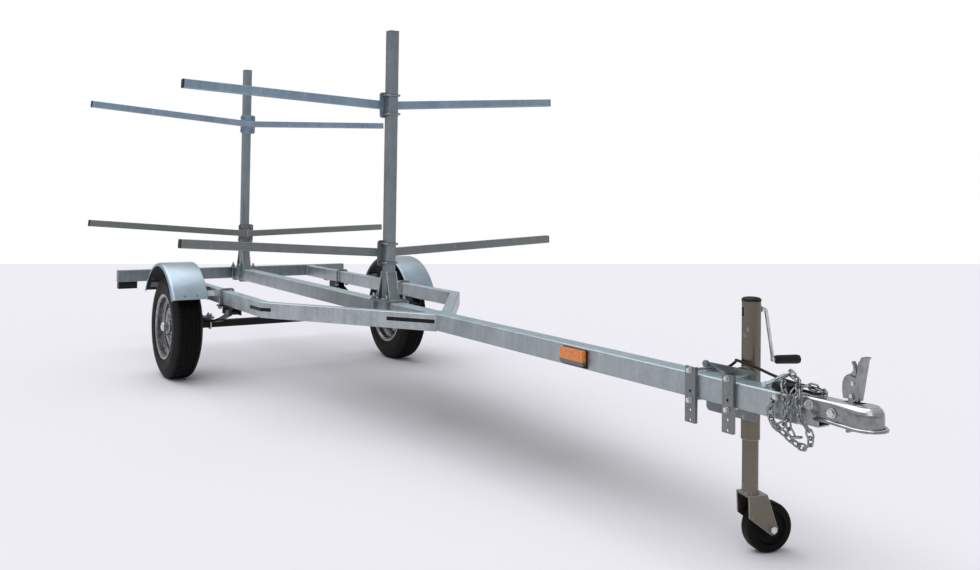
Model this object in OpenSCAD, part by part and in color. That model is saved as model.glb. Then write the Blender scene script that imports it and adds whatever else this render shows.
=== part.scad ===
// Kayak trailer with two masts of V arms, leaf-spring axle, jockey wheel and ball coupling.
// Millimetres, +X forward, +Y to the trailer's left, +Z up, ground at z = 0.
// Lengths along X are counted from the axle; the last lines shift the whole trailer to its middle.

/* [Frame] */
// Height and width of the spine beam
spine_size = 75; // [70:1:80]
// Height of the top of the spine above the ground
spine_top_z = 522; // [510:1:540]
// Front end of the spine, ahead of the axle
spine_front_x = 3730; // [3700:5:3735]
// Half length of the rear crossbar
crossbar_half = 794; // [780:1:800]
// Half the distance over the side rails
rail_outer_y = 560; // [558:1:562]
// Where the side rails bend towards the spine
rail_bend_x = 1001; // [950:1:1050]
// Where the outer corner of each side rail meets the spine
rail_meet_x = 1787; // [1740:1:1830]

/* [Masts and arms] */
// Outside size of the mast tube
mast_size = 50; // [46:1:52]
// Front mast, ahead of the axle
front_mast_x = 1247; // [1230:1:1260]
// Rear mast, behind the axle
rear_mast_x = -937; // [-945:1:-930]
// Top of the front mast tube above the ground
front_mast_top_z = 1849; // [1800:1:1900]
// Top of the rear mast tube above the ground
rear_mast_top_z = 1881; // [1800:1:1900]
// Outside size of the arm tube
arm_size = 40; // [36:1:42]
// Half length of the front arms
front_arm_half = 1003; // [950:1:1010]
// Half length of the rear arms
rear_arm_half = 1011; // [950:1:1015]
// Height gained by each arm from the mast to its tip
arm_rise = 57; // [40:1:70]

/* [Wheels] */
// Outside diameter of the tyre
tyre_diameter = 578; // [574:1:580]
// Width of the tyre
tyre_width = 156; // [150:1:158]
// Half the distance between the tyre centres
half_track = 692; // [690:1:696]

/* [Hidden] */

// Colours that stand for the materials
zinc = "silver";
black_paint = "dimgray";
plastic = "darkslategray";

// Gaps between pieces
seat_gap = 0.3;      // flat pieces that lie against each other
running_gap = 0.05;  // round pieces that turn or slide in each other
thread_gap = 0.05;   // nut on its bolt

// Frame sections
spine_wall = 4;
spine_corner = 7;
rail_width = 50;
rail_height = 75;
rail_wall = 3;
rail_drop = 4;       // top of the side rails below the top of the spine
rail_corner = 6;
rail_joint_inset = 1.5; // closing plate in the mitre, in from the outside
rail_joint_gap = 0.3;   // between the two lengths in the mitre
crossbar_front_x = -1049;
crossbar_width = 50;
crossbar_height = 75;
spine_half = spine_size / 2;
spine_mid_z = spine_top_z - spine_half;
spine_bottom_z = spine_top_z - spine_size;
rail_top_z = spine_top_z - rail_drop;
rail_mid_z = rail_top_z - rail_height / 2;
rail_bottom_z = rail_top_z - rail_height;
rail_inner_y = rail_outer_y - rail_width;
rail_mid_y = rail_outer_y - rail_width / 2;
rail_angle = atan((rail_outer_y - spine_half) / (rail_meet_x - rail_bend_x));
tongue_width = 50;
tongue_height = 71;
tongue_end_x = 3788;
tongue_wall = 4;
weld = 0.5;          // how far welded pieces run into each other

// Masts
mast_wall = 3;
mast_corner = 5;
mast_cap_lip = 3;
base_length = 180;
base_width = 116;
base_thick = 8;
front_base_shift = 4;     // base plate ahead of the mast's centre
rear_base_shift = -13;
base_bolt_x = 70;         // U-bolt legs fore and aft of the plate's centre
mast_bolt_d = 12;
mast_bolt_y = spine_half + seat_gap + mast_bolt_d / 2 + 3;
mast_bolt_top_z = 558;
brace_top_z = 665;
brace_foot = 68;          // foot of the brace from the mast's centre
brace_thick = 6;
base_top_z = spine_top_z + base_thick;

// Arms: height of the middle of the arm at the mast, tilt about X in degrees
arm_wall = 2.5;
arm_corner = 5;
bracket_width = 100;
bracket_height = 126;
bracket_thick = 6;
bracket_corner = 14;
bracket_bolt_z = 46;
arm_bolt_d = 10;
arm_bolt_reach = 16;       // U-bolt legs beyond the bracket
arm_cap_thick = 4;
front_upper_z = 1467 + arm_size / 2;
front_lower_z = 736 + arm_size / 2;
rear_upper_z = 1489 + arm_size / 2;
rear_lower_z = 742 + arm_size / 2;
front_upper_tilt = 1.2;
front_lower_tilt = -0.25;
rear_upper_tilt = -0.97;
rear_lower_tilt = -1.14;

// Axle and springs
axle_z = tyre_diameter / 2;
axle_size = 40;
axle_half = 600;
spindle_r = 17;
spindle_end = 730;
spindle_thread_r = 10;
spring_y = rail_mid_y;
leaf_width = 45;
leaf_thick = 6;
leaf_bottom_z = axle_z + axle_size / 2 + seat_gap;
main_leaf_z = leaf_bottom_z + leaf_thick + seat_gap;
front_leaf_r = 1306;      // curve of the spring ahead of the axle
rear_leaf_r = 1410;       // curve behind it
eye_x = 520;
eye_outer_r = 15;
eye_bolt_r = 7;
slipper_end_x = -560;
fish_plate_thick = 10;
fish_plate_half_x = 42;
fish_plate_half_y = 43;
fish_plate_z = main_leaf_z + leaf_thick + leaf_rise(fish_plate_half_x) + seat_gap;
axle_corner = 5;
axle_bolt_d = 10;
axle_bolt_y = leaf_width / 2 + axle_bolt_d / 2 + 1;
axle_bolt_gap = axle_size + 2 * seat_gap;
axle_bolt_x = (axle_bolt_gap + axle_bolt_d) / 2;
axle_bolt_reach = 18;         // U-bolt legs above the spring plate
hanger_front = [418, 560];    // front hanger along X
hanger_rear = [-640, -522];   // rear slipper hanger along X
hanger_width = 58;
hanger_wall = 5;
hanger_bottom_z = 400;
hanger_flange = 6;
hanger_bolt_d = 12;
hanger_bolt_x = [396, -500];  // U-bolts round the rail beside the hangers
hanger_bolt_reach = 17;       // their legs below the hanger's flange

// Mudguards
guard_outer_r = 356;
guard_thick = 2;
guard_half_angle = 60;
guard_in_y = 606;
guard_out_y = 790;
guard_lip = 14;
stay_angle = 53;
stay_width = 34;
stay_thick = 5;
stay_plate_x = [200, 365];
stay_plate_z = [452, 510];

// Lamps
lamp_back_x = -1130;
lamp_in_y = 670;
lamp_out_y = 785;
lamp_low_z = 401;
lamp_depth = 55;
lens_thick = 9;
marker_x = [2708, 2844];
marker_z = [452, 514];
marker_base_depth = 5;
marker_lens_depth = 15;

// Wheel pieces, measured from the tyre's middle, outboard positive
rim_r = 180;
rim_half = 72;
bead_seat_r = 167;
stud_circle_r = 57.15;
stud_r = 6;
stud_count = 5;
stud_phase = 98;
hub_face = 21;
disc_thick = 4;
hub_bore_r = 26.05;
hub_barrel_r = 32;
cap_r = 26;
cap_end = 82;

// Coupling
ball_x = 3917;
ball_z = 503;
ball_r = 25;
dome_r = 43;
dome_top_z = 533;
dome_fillet = 26;
coupling_base_z = 471;
coupling_wall = 4;
flange_thick = 4;
flange_r = 53;
coupling_front_x = ball_x + flange_r;
neck_back_x = 3739;
neck_half = 29.3;
neck_top_z = 527;
neck_corner = 9;
neck_end_x = 3830;
neck_bolt = [3765, 507, 6];    // place along X and Z, radius
jaw_pin = [3838, 499];
jaw_pin_r = 6;
jaw_pin_seat = 33.2;           // its washer and head, clear of the pressing's wider part
jaw_width = 14;
jaw_hub_r = 11;
handle_pin = [3880, 549];
handle_pin_r = 3.5;
handle_half_width = 12;
handle_wall = 3;
handle_ear = 3;
trigger_pin = [3883, 581];
trigger_pin_r = 3;
jaw_gap = 1.2;                 // between the shut jaw and the ball

// Jockey wheel
jockey_x = 3469;
jockey_y = 78.8;
swing_z = 486;
tube_r = 28;
tube_wall = 2.5;
tube_z = [337, 745];
inner_r = 24;
inner_wall = 3;
inner_z = [184, 545];
screw_r = 8;
screw_seat = 4;           // plate in the tube that the gear turns on
gear_z = 690;
crank_z = 722;
crank_turn = 23;          // crank's shaft from +Y towards +X
crank_r = 5.5;
crank_bend = 14;
bend_swell = 0.1;         // the bar is that much thicker in its bend
bend_overlap = 1;         // how far the straight lengths run into the bend
crank_out = 48;           // middle of the crank's arm from the tube's axis, at its top
crank_arm = 142;
crank_lean = 9;
grip_start = 8;
grip_length = 80;
mount_plate_x = [3330, 3526];
mount_plate_z = [400, 547];
mount_plate_thick = 5;
mount_plate_y = spine_half + seat_gap;
swing_disc_r = 65;
swing_disc_y = 47;
swing_disc_thick = jockey_y - tube_r - swing_disc_y;
swing_pin_r = 8;
plunger_x = 3432;
plunger_z = 528;
plunger_r = 4;
plunger_out = 5;          // the pin is drawn that far out of the disc
plunger_knob = [3360, 548];
strap_x = [3346, 3495];
strap_width = 42;
strap_depth = 11;
strap_wall = 4;
strap_z = [374, 542];
clamp_bolt_r = 4.5;
clamp_bolt_top_z = 531;
clamp_bolt_low_z = spine_bottom_z - clamp_bolt_r - 1;
caster_x = 3487;
caster_y = 132;
caster_turn = 16.8;
caster_wheel_r = 75;
caster_bolt_r = 6;
caster_bore_r = caster_bolt_r + running_gap;
caster_wheel_width = 50;
fork_top_z = 178;
fork_thick = 5;
fork_crown_y = [-25, 38]; // plate over the wheel, along the trail

// Chain and lead, routes in round numbers
chain_wire = 5.5;
chain_pitch = 22;
chain_slack = 1.4;
chain_width = 22.5;
chain_inner = chain_pitch + chain_slack;
chain_route = [
  [3676, -50, 516], [3659, -54, 492], [3653, -54, 462], [3664, -50, 434], [3688, -44, 420],
  [3714, -40, 404], [3744, -38, 390], [3774, -42, 402], [3788, -52, 432], [3776, -62, 458],
  [3760, -62, 482], [3754, -60, 512], [3744, -48, 538], [3722, -20, 556], [3694, -4, 568],
  [3668, 0, 580]
];
shackle_r = 4;
shackle_half = 14;
shackle_length = 74;
shackle_lean = 30;
chain_bolt_r = 4;
lead_r = 4.2;
lead_sides = 10;
lead_route = [
  [3290, 34, 500], [3292, 50, 506], [3316, 57, 520], [3352, 60, 530], [3396, 62, 540],
  [3424, 64, 560], [3442, 46, 568], [3480, 38, 566], [3530, 36, 560], [3590, 36, 548],
  [3660, 36, 540], [3730, 34, 538], [3772, 24, 536], [3782, 4, 535], [3764, -10, 534],
  [3740, -6, 534], [3710, -6, 534]
];
plug_x = [3638, 3716];
plug_z = spine_top_z + 12;

frame_mid_x = (coupling_front_x + lamp_back_x) / 2;

// Shared shapes

module rounded_rect(w, h, r) {
  square([w - 2 * r, h], center = true);
  square([w, h - 2 * r], center = true);
  for (x = [-1, 1], y = [-1, 1])
    translate([x * (w / 2 - r), y * (h / 2 - r)])
      circle(r, $fn = 32);
}

module box_section(w, h, wall, r) {
  difference() {
    rounded_rect(w, h, r);
    rounded_rect(w - 2 * wall, h - 2 * wall, max(r - wall, 1));
  }
}

// Hollow rectangular tube along +X from the origin
module tube_x(length, w, h, wall, r) {
  rotate([90, 0, 90])
    linear_extrude(length)
      box_section(w, h, wall, r);
}

module both_sides() {
  children();
  mirror([0, 1, 0]) children();
}

module from_axle() {
  translate([-frame_mid_x, 0, 0]) children();
}

// Cylinder along +Y from y to y + length
module rod_y(x, y, z, length, r) {
  translate([x, y, z]) rotate([-90, 0, 0]) cylinder(h = length, r = r, $fn = 32);
}

// Hexagon nut or bolt head, across-flats size af, along +Z
module hexagon(af, height) {
  cylinder(h = height, r = af / sqrt(3), $fn = 6);
}

module nut(af, height, bolt_r) {
  difference() {
    hexagon(af, height);
    translate([0, 0, -1]) cylinder(h = height + 2, r = bolt_r + thread_gap, $fn = 32);
  }
}

module washer(outer_r, height, bolt_r) {
  difference() {
    cylinder(h = height, r = outer_r, $fn = 32);
    translate([0, 0, -1]) cylinder(h = height + 2, r = bolt_r + thread_gap, $fn = 32);
  }
}

// U-bolt in the XZ plane, legs up to z = 0, bend below, gap between the legs' inner faces
module u_bolt(gap, depth, d) {
  leg = gap / 2 + d / 2;
  bend = 5 + d / 2;
  for (s = [-1, 1]) translate([s * leg, 0, -depth + bend]) cylinder(h = depth - bend, r = d / 2, $fn = 24);
  translate([-leg + bend, 0, -depth]) rotate([0, 90, 0]) cylinder(h = 2 * (leg - bend), r = d / 2, $fn = 24);
  for (s = [0, 1]) mirror([s, 0, 0])
    translate([leg - bend, 0, -depth + bend]) rotate([90, 0, 0])
      rotate_extrude(angle = 90, start = 270, $fn = 48) translate([bend, 0]) circle(d / 2, $fn = 24);
}

// Frame

module spine_beam() {
  color(zinc) difference() {
    union() {
      translate([crossbar_front_x, 0, spine_mid_z])
        tube_x(spine_front_x - crossbar_front_x, spine_size, spine_size, spine_wall, spine_corner);
      translate([spine_front_x - spine_wall, 0, spine_mid_z]) rotate([90, 0, 90])
        linear_extrude(spine_wall) rounded_rect(spine_size, spine_size, spine_corner);
      translate([spine_front_x - weld, 0, spine_mid_z])
        tube_x(tongue_end_x - spine_front_x + weld, tongue_width, tongue_height, tongue_wall, 5);
    }
    rod_y(neck_bolt[0], -60, neck_bolt[1], 120, neck_bolt[2] + seat_gap);
    rod_y(chain_bolt_eye()[0], -60, chain_bolt_eye()[2], 60, chain_bolt_r + seat_gap);
    rod_y(lead_route[0][0], 0, lead_route[0][2], 60, lead_r + 1);
  }
}

module rear_crossbar() {
  color(zinc) {
    translate([crossbar_front_x - crossbar_width / 2, -crossbar_half, spine_mid_z])
      rotate([0, 0, 90])
        tube_x(2 * crossbar_half, crossbar_width, crossbar_height, rail_wall, rail_corner);
    for (s = [-1, 1])
      translate([crossbar_front_x - crossbar_width / 2, s * (crossbar_half - 1.5), spine_mid_z])
        cube([crossbar_width - 2 * rail_wall, 3, crossbar_height - 2 * rail_wall], center = true);
  }
}

// Left side rail: straight length, angled length to the spine, and the closing plate in the mitre
module side_rail() {
  mitre_width = rail_width / cos(rail_angle / 2);
  color(zinc) {
    difference() {
      translate([crossbar_front_x, rail_mid_y, rail_mid_z])
        tube_x(rail_bend_x - crossbar_front_x, rail_width, rail_height, rail_wall, rail_corner);
      translate([rail_bend_x, rail_outer_y, rail_mid_z]) rotate([0, 0, -rail_angle / 2])
        translate([-rail_joint_gap / 2, -150, -60]) cube([150, 300, 120]);
    }
    difference() {
      translate([rail_bend_x, rail_outer_y, rail_mid_z]) rotate([0, 0, -rail_angle])
        translate([-40, -rail_width / 2, 0])
          tube_x(1100, rail_width, rail_height, rail_wall, rail_corner);
      translate([rail_bend_x, rail_outer_y, rail_mid_z]) rotate([0, 0, -rail_angle / 2])
        translate([rail_joint_gap / 2 - 150, -150, -60]) cube([150, 300, 120]);
      translate([rail_bend_x, spine_half - 400, rail_bottom_z - 20]) cube([1400, 400, 120]);
    }
    translate([rail_bend_x, rail_outer_y, rail_mid_z]) rotate([0, 0, -rail_angle / 2])
      translate([-weld, -mitre_width / 2, 0]) rotate([90, 0, 90]) linear_extrude(2 * weld)
        rounded_rect(
          mitre_width - 2 * rail_joint_inset,
          rail_height - 2 * rail_joint_inset,
          rail_corner - rail_joint_inset
        );
  }
}

// Mast standing on its base plate, x counted from the mast's centre
module mast(top_z, base_shift) {
  translate([0, 0, base_top_z])
    linear_extrude(top_z - base_top_z)
      box_section(mast_size, mast_size, mast_wall, mast_corner);
  translate([base_shift, 0, spine_top_z]) difference() {
    translate([-base_length / 2, -base_width / 2, 0]) cube([base_length, base_width, base_thick]);
    for (x = [-1, 1], y = [-1, 1])
      translate([x * base_bolt_x, y * mast_bolt_y, -1])
        cylinder(h = base_thick + 2, r = mast_bolt_d / 2 + 0.5, $fn = 32);
  }
  for (s = [0, 1]) mirror([s, 0, 0]) mast_brace();
}

module mast_brace() {
  translate([0, mast_size / 2, 0]) rotate([90, 0, 0])
    linear_extrude(mast_size)
      polygon([
        [mast_size / 2, brace_top_z],
        [mast_size / 2, brace_top_z - 22],
        [brace_foot - brace_thick, base_top_z + 6],
        [brace_foot - brace_thick, base_top_z],
        [brace_foot, base_top_z],
        [brace_foot, base_top_z + 7]
      ]);
}

module front_mast() {
  color(zinc) translate([front_mast_x, 0, 0]) mast(front_mast_top_z, front_base_shift);
}

module rear_mast() {
  color(zinc) translate([rear_mast_x, 0, 0]) mast(rear_mast_top_z, rear_base_shift);
}

// Push-in cap in the open top of a mast
module mast_cap() {
  plug = mast_size - 2 * mast_wall - 0.4;
  translate([0, 0, seat_gap]) linear_extrude(mast_cap_lip) rounded_rect(mast_size, mast_size, mast_corner);
  translate([0, 0, -14]) linear_extrude(15) box_section(plug, plug, 2.5, 2.6);
}

module mast_caps() {
  color(plastic) {
    translate([front_mast_x, 0, front_mast_top_z]) mast_cap();
    translate([rear_mast_x, 0, rear_mast_top_z]) mast_cap();
  }
}

// U-bolt round the spine, with washers and nuts on the base plate
module mast_u_bolt() {
  leg_gap = 2 * mast_bolt_y - mast_bolt_d;
  depth = mast_bolt_top_z - spine_bottom_z + seat_gap + mast_bolt_d / 2;
  translate([0, 0, mast_bolt_top_z]) rotate([0, 0, 90]) u_bolt(leg_gap, depth, mast_bolt_d);
  for (s = [-1, 1]) translate([0, s * mast_bolt_y, base_top_z + seat_gap]) {
    washer(12, 2.5, mast_bolt_d / 2);
    translate([0, 0, 2.7]) nut(19, 10, mast_bolt_d / 2);
  }
}

module mast_u_bolts() {
  color(zinc)
    for (x = [front_mast_x + front_base_shift, rear_mast_x + rear_base_shift], s = [-1, 1])
      translate([x + s * base_bolt_x, 0, 0]) mast_u_bolt();
}

// One straight half of a V arm, cut on the mast's middle plane
module arm_half(half_length) {
  slope = atan(arm_rise / half_length);
  length = half_length / cos(slope);
  difference() {
    rotate([slope, 0, 0]) translate([0, -20, 0]) rotate([0, 0, 90])
      tube_x(length + 20 - arm_cap_thick, arm_size, arm_size, arm_wall, arm_corner);
    translate([-50, -100 - weld, -50]) cube([100, 100, 100]);
  }
}

// Welded arm and bracket plate; the plate's back lies at x = 0 and the arm ahead of it
module arm_on_bracket(half_length) {
  translate([bracket_thick + arm_size / 2 - weld, 0, 0])
    for (s = [0, 1]) mirror([0, s, 0]) arm_half(half_length);
  rotate([90, 0, 90]) linear_extrude(bracket_thick) difference() {
    rounded_rect(bracket_width, bracket_height, bracket_corner);
    for (y = [-1, 1], z = [-1, 1])
      translate([y * arm_bolt_y(), z * bracket_bolt_z]) circle(arm_bolt_d / 2 + 0.5, $fn = 32);
  }
}

function arm_bolt_y() = mast_size / 2 + seat_gap + arm_bolt_d / 2 + 2.5;

// Puts an arm's own pieces on the front of a mast (side = 1) or on its back (side = -1)
module at_mast(mast_x, z, tilt, side) {
  translate([mast_x, 0, z])
    rotate([tilt, 0, side > 0 ? 0 : 180])
      translate([mast_size / 2 + seat_gap, 0, 0]) children();
}

module at_front_upper() { at_mast(front_mast_x, front_upper_z, -front_upper_tilt, -1) children(); }
module at_front_lower() { at_mast(front_mast_x, front_lower_z, -front_lower_tilt, -1) children(); }
module at_rear_upper() { at_mast(rear_mast_x, rear_upper_z, rear_upper_tilt, 1) children(); }
module at_rear_lower() { at_mast(rear_mast_x, rear_lower_z, rear_lower_tilt, 1) children(); }

module front_upper_arm() { color(zinc) at_front_upper() arm_on_bracket(front_arm_half); }
module front_lower_arm() { color(zinc) at_front_lower() arm_on_bracket(front_arm_half); }
module rear_upper_arm() { color(zinc) at_rear_upper() arm_on_bracket(rear_arm_half); }
module rear_lower_arm() { color(zinc) at_rear_lower() arm_on_bracket(rear_arm_half); }

// U-bolt lying round the mast, its nuts on the bracket plate
module arm_u_bolt() {
  leg_gap = 2 * arm_bolt_y() - arm_bolt_d;
  depth = mast_size + 2 * seat_gap + bracket_thick + arm_bolt_reach + arm_bolt_d / 2;
  translate([bracket_thick + arm_bolt_reach, 0, 0]) rotate([0, 90, 0]) rotate([0, 0, 90])
    u_bolt(leg_gap, depth, arm_bolt_d);
  for (s = [-1, 1]) translate([bracket_thick + seat_gap, s * arm_bolt_y(), 0]) rotate([0, 90, 0]) {
    washer(10, 2, arm_bolt_d / 2);
    translate([0, 0, 2.2]) nut(17, 8, arm_bolt_d / 2);
  }
}

module arm_u_bolt_pair() {
  for (s = [-1, 1]) translate([0, 0, s * bracket_bolt_z]) arm_u_bolt();
}

module arm_u_bolts() {
  color(zinc) {
    at_front_upper() arm_u_bolt_pair();
    at_front_lower() arm_u_bolt_pair();
    at_rear_upper() arm_u_bolt_pair();
    at_rear_lower() arm_u_bolt_pair();
  }
}

// Plastic cap on each end of an arm
module arm_cap_pair(half_length) {
  slope = atan(arm_rise / half_length);
  length = half_length / cos(slope);
  plug = arm_size - 2 * arm_wall - 0.4;
  translate([bracket_thick + arm_size / 2 - weld, 0, 0])
    for (s = [0, 1]) mirror([0, s, 0])
      rotate([slope, 0, 0]) translate([0, length - arm_cap_thick, 0]) rotate([-90, 0, 0]) {
        translate([0, 0, seat_gap])
          linear_extrude(arm_cap_thick - seat_gap) rounded_rect(arm_size, arm_size, arm_corner);
        translate([0, 0, -12]) linear_extrude(13) box_section(plug, plug, 2.5, 2.6);
      }
}

module arm_end_caps() {
  color(plastic) {
    at_front_upper() arm_cap_pair(front_arm_half);
    at_front_lower() arm_cap_pair(front_arm_half);
    at_rear_upper() arm_cap_pair(rear_arm_half);
    at_rear_lower() arm_cap_pair(rear_arm_half);
  }
}

// Axle and springs

function leaf_rise(x) = x > 0
  ? front_leaf_r - sqrt(front_leaf_r * front_leaf_r - x * x)
  : rear_leaf_r - sqrt(rear_leaf_r * rear_leaf_r - x * x);

// Side view of one leaf between two places along X, its underside z at the axle
module leaf_strip(x0, x1, z) {
  steps = 16;
  under = [for (i = [0 : steps]) let (x = x0 + (x1 - x0) * i / steps) [x, z + leaf_rise(x)]];
  over = [for (i = [steps : -1 : 0]) let (x = x0 + (x1 - x0) * i / steps) [x, z + leaf_thick + leaf_rise(x)]];
  polygon(concat(under, over));
}

eye_z = main_leaf_z + leaf_rise(eye_x) - eye_outer_r + leaf_thick + 1;

module leaf_spring() {
  translate([0, spring_y + leaf_width / 2, 0]) rotate([90, 0, 0]) {
    linear_extrude(leaf_width) difference() {
      union() {
        leaf_strip(slipper_end_x, eye_x, main_leaf_z);
        translate([eye_x, eye_z]) circle(eye_outer_r, $fn = 48);
      }
      translate([eye_x, eye_z]) circle(eye_bolt_r + running_gap, $fn = 32);
    }
    linear_extrude(leaf_width) leaf_strip(-330, 300, leaf_bottom_z);
  }
}

module leaf_springs() {
  color(black_paint) both_sides() leaf_spring();
}

module spring_plates() {
  color(zinc) both_sides() translate([0, spring_y, fish_plate_z]) difference() {
    translate([-fish_plate_half_x, -fish_plate_half_y, 0])
      cube([2 * fish_plate_half_x, 2 * fish_plate_half_y, fish_plate_thick]);
    for (x = [-1, 1], y = [-1, 1])
      translate([x * axle_bolt_x, y * axle_bolt_y, -1])
        cylinder(h = fish_plate_thick + 2, r = axle_bolt_d / 2 + 0.5, $fn = 32);
  }
}

module axle_beam() {
  color(black_paint) {
    translate([0, -axle_half, axle_z]) rotate([0, 0, 90])
      rotate([90, 0, 90]) linear_extrude(2 * axle_half) rounded_rect(axle_size, axle_size, axle_corner);
    both_sides() {
      rod_y(0, axle_half - 1, axle_z, spindle_end - 10 - axle_half, spindle_r);
      rod_y(0, axle_half, axle_z, spindle_end - axle_half, spindle_thread_r);
      rod_y(0, axle_half - 1, axle_z, 30, 24);
    }
  }
}

// U-bolts round the axle with nuts on the spring plate, and the spindle nuts
module axle_bolts() {
  plate_top_z = fish_plate_z + fish_plate_thick;
  top_z = plate_top_z + axle_bolt_reach;
  depth = top_z - axle_z + axle_size / 2 + seat_gap + axle_bolt_d / 2;
  color(zinc) both_sides() {
    for (y = [-1, 1]) translate([0, spring_y + y * axle_bolt_y, 0]) {
      translate([0, 0, top_z]) u_bolt(axle_bolt_gap, depth, axle_bolt_d);
      for (s = [-1, 1]) translate([s * axle_bolt_x, 0, plate_top_z + seat_gap]) {
        washer(9, 2, axle_bolt_d / 2);
        translate([0, 0, 2.2]) nut(17, 8, axle_bolt_d / 2);
      }
    }
    translate([0, spindle_end - 9.7, axle_z]) rotate([-90, 0, 0]) nut(27, 8, spindle_thread_r);
  }
}

// Hangers: an open-bottomed channel under the rail, with a flange that carries the U-bolt beside it
module hanger_box(x0, x1) {
  height = rail_bottom_z - seat_gap - hanger_bottom_z;
  translate([x0, spring_y, hanger_bottom_z]) difference() {
    translate([0, -hanger_width / 2, 0]) cube([x1 - x0, hanger_width, height]);
    translate([-1, -hanger_width / 2 + hanger_wall, -1])
      cube([x1 - x0 + 2, hanger_width - 2 * hanger_wall, height - hanger_wall + 1]);
  }
}

module hanger_flange(x, box_end) {
  half_x = 20;
  half_y = hanger_bolt_y() + 13;
  difference() {
    translate([min(x - half_x, box_end), spring_y - half_y, rail_bottom_z - seat_gap - hanger_flange])
      cube([abs(box_end - x) + half_x, 2 * half_y, hanger_flange]);
    for (s = [-1, 1]) translate([x, spring_y + s * hanger_bolt_y(), rail_bottom_z - 20])
      cylinder(h = 30, r = hanger_bolt_d / 2 + 0.5, $fn = 32);
  }
}

function hanger_bolt_y() = hanger_width / 2 + seat_gap + hanger_bolt_d / 2;

module spring_hangers() {
  color(black_paint) both_sides() {
    difference() {
      hanger_box(hanger_front[0], hanger_front[1]);
      rod_y(eye_x, spring_y - 50, eye_z, 100, eye_bolt_r + seat_gap);
    }
    hanger_flange(hanger_bolt_x[0], hanger_front[0] + weld);
    hanger_box(hanger_rear[0], hanger_rear[1]);
    hanger_flange(hanger_bolt_x[1], hanger_rear[1] - weld);
    translate([hanger_rear[0], spring_y - hanger_width / 2, hanger_bottom_z - 6 + weld])
      cube([60, hanger_width, 6]);
  }
}

// Spring eye bolts and the U-bolts that hold the hangers to the rails
module hanger_bolts() {
  flange_z = rail_bottom_z - seat_gap - hanger_flange;
  low_z = flange_z - hanger_bolt_reach;
  depth = rail_top_z + seat_gap + hanger_bolt_d / 2 - low_z;
  color(zinc) both_sides() {
    rod_y(eye_x, spring_y - hanger_width / 2 - 9, eye_z, hanger_width + 24, eye_bolt_r);
    translate([eye_x, spring_y + hanger_width / 2 + seat_gap, eye_z]) rotate([-90, 0, 0]) {
      washer(14, 2.5, eye_bolt_r);
      translate([0, 0, 2.7]) nut(21, 11, eye_bolt_r);
    }
    translate([eye_x, spring_y - hanger_width / 2 - 9, eye_z]) rotate([-90, 0, 0]) hexagon(21, 8.7);
    for (x = hanger_bolt_x) translate([x, spring_y, 0]) {
      translate([0, 0, low_z]) mirror([0, 0, 1]) rotate([0, 0, 90])
        u_bolt(hanger_width + 2 * seat_gap, depth, hanger_bolt_d);
      for (s = [-1, 1]) translate([0, s * hanger_bolt_y(), flange_z - seat_gap]) mirror([0, 0, 1]) {
        washer(11, 2.5, hanger_bolt_d / 2);
        translate([0, 0, 2.7]) nut(19, 10, hanger_bolt_d / 2);
      }
    }
  }
}

// Mudguards

module arc_band(r0, r1, half_angle) {
  steps = 24;
  outer = [for (i = [0 : steps]) let (a = 90 - half_angle + 2 * half_angle * i / steps) r1 * [cos(a), sin(a)]];
  inner = [for (i = [steps : -1 : 0]) let (a = 90 - half_angle + 2 * half_angle * i / steps) r0 * [cos(a), sin(a)]];
  polygon(concat(outer, inner));
}

// Curved sheet with a turned-down lip along each edge
module mudguard() {
  color(zinc) translate([0, 0, axle_z]) {
    translate([0, guard_out_y, 0]) rotate([90, 0, 0]) linear_extrude(guard_out_y - guard_in_y)
      arc_band(guard_outer_r - guard_thick, guard_outer_r, guard_half_angle);
    for (y = [guard_out_y, guard_in_y + guard_thick])
      translate([0, y, 0]) rotate([90, 0, 0]) linear_extrude(guard_thick)
        arc_band(guard_outer_r - guard_lip, guard_outer_r, guard_half_angle);
  }
}

// Plate on the rail with a bent flat bar from it out under each end of the mudguard
module mudguard_stays() {
  inside_r = guard_outer_r - guard_thick - seat_gap;
  reach = sqrt(inside_r * inside_r - stay_width * stay_width / 4) - stay_thick; // corners clear the curve
  color(zinc) both_sides() for (s = [0, 1]) mirror([s, 0, 0]) {
    translate([stay_plate_x[0], rail_outer_y + seat_gap, stay_plate_z[0]])
      cube([stay_plate_x[1] - stay_plate_x[0], stay_thick, stay_plate_z[1] - stay_plate_z[0]]);
    translate([0, 0, axle_z]) rotate([0, stay_angle, 0]) {
      translate([-stay_width / 2, guard_in_y + guard_thick + seat_gap, reach])
        cube([stay_width, guard_out_y - guard_in_y - 24, stay_thick]);
      translate([-stay_width / 2, rail_outer_y + seat_gap + stay_thick - weld, reach - guard_lip])
        cube([stay_width, guard_in_y - rail_outer_y - stay_thick + 7, stay_thick]);
      translate([-stay_width / 2, guard_in_y + guard_thick + seat_gap, reach - guard_lip])
        cube([stay_width, stay_thick, guard_lip + 2]);
    }
  }
}

// Lamps

module lamp_housings() {
  color(plastic) both_sides() {
    translate([lamp_back_x + lens_thick, lamp_in_y, lamp_low_z]) difference() {
      cube([lamp_depth, lamp_out_y - lamp_in_y, spine_bottom_z - seat_gap - lamp_low_z]);
      translate([-1, 4, 4])
        cube([lamp_depth - 3, lamp_out_y - lamp_in_y - 8, spine_bottom_z - lamp_low_z - 8]);
    }
    translate([lamp_back_x + lens_thick, lamp_in_y, spine_bottom_z - 6])
      cube([crossbar_front_x - crossbar_width - seat_gap - lamp_back_x - lens_thick, lamp_out_y - lamp_in_y, 58]);
    translate([marker_x[0], spine_half + seat_gap, marker_z[0]])
      cube([marker_x[1] - marker_x[0], marker_base_depth, marker_z[1] - marker_z[0]]);
  }
}

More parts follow.
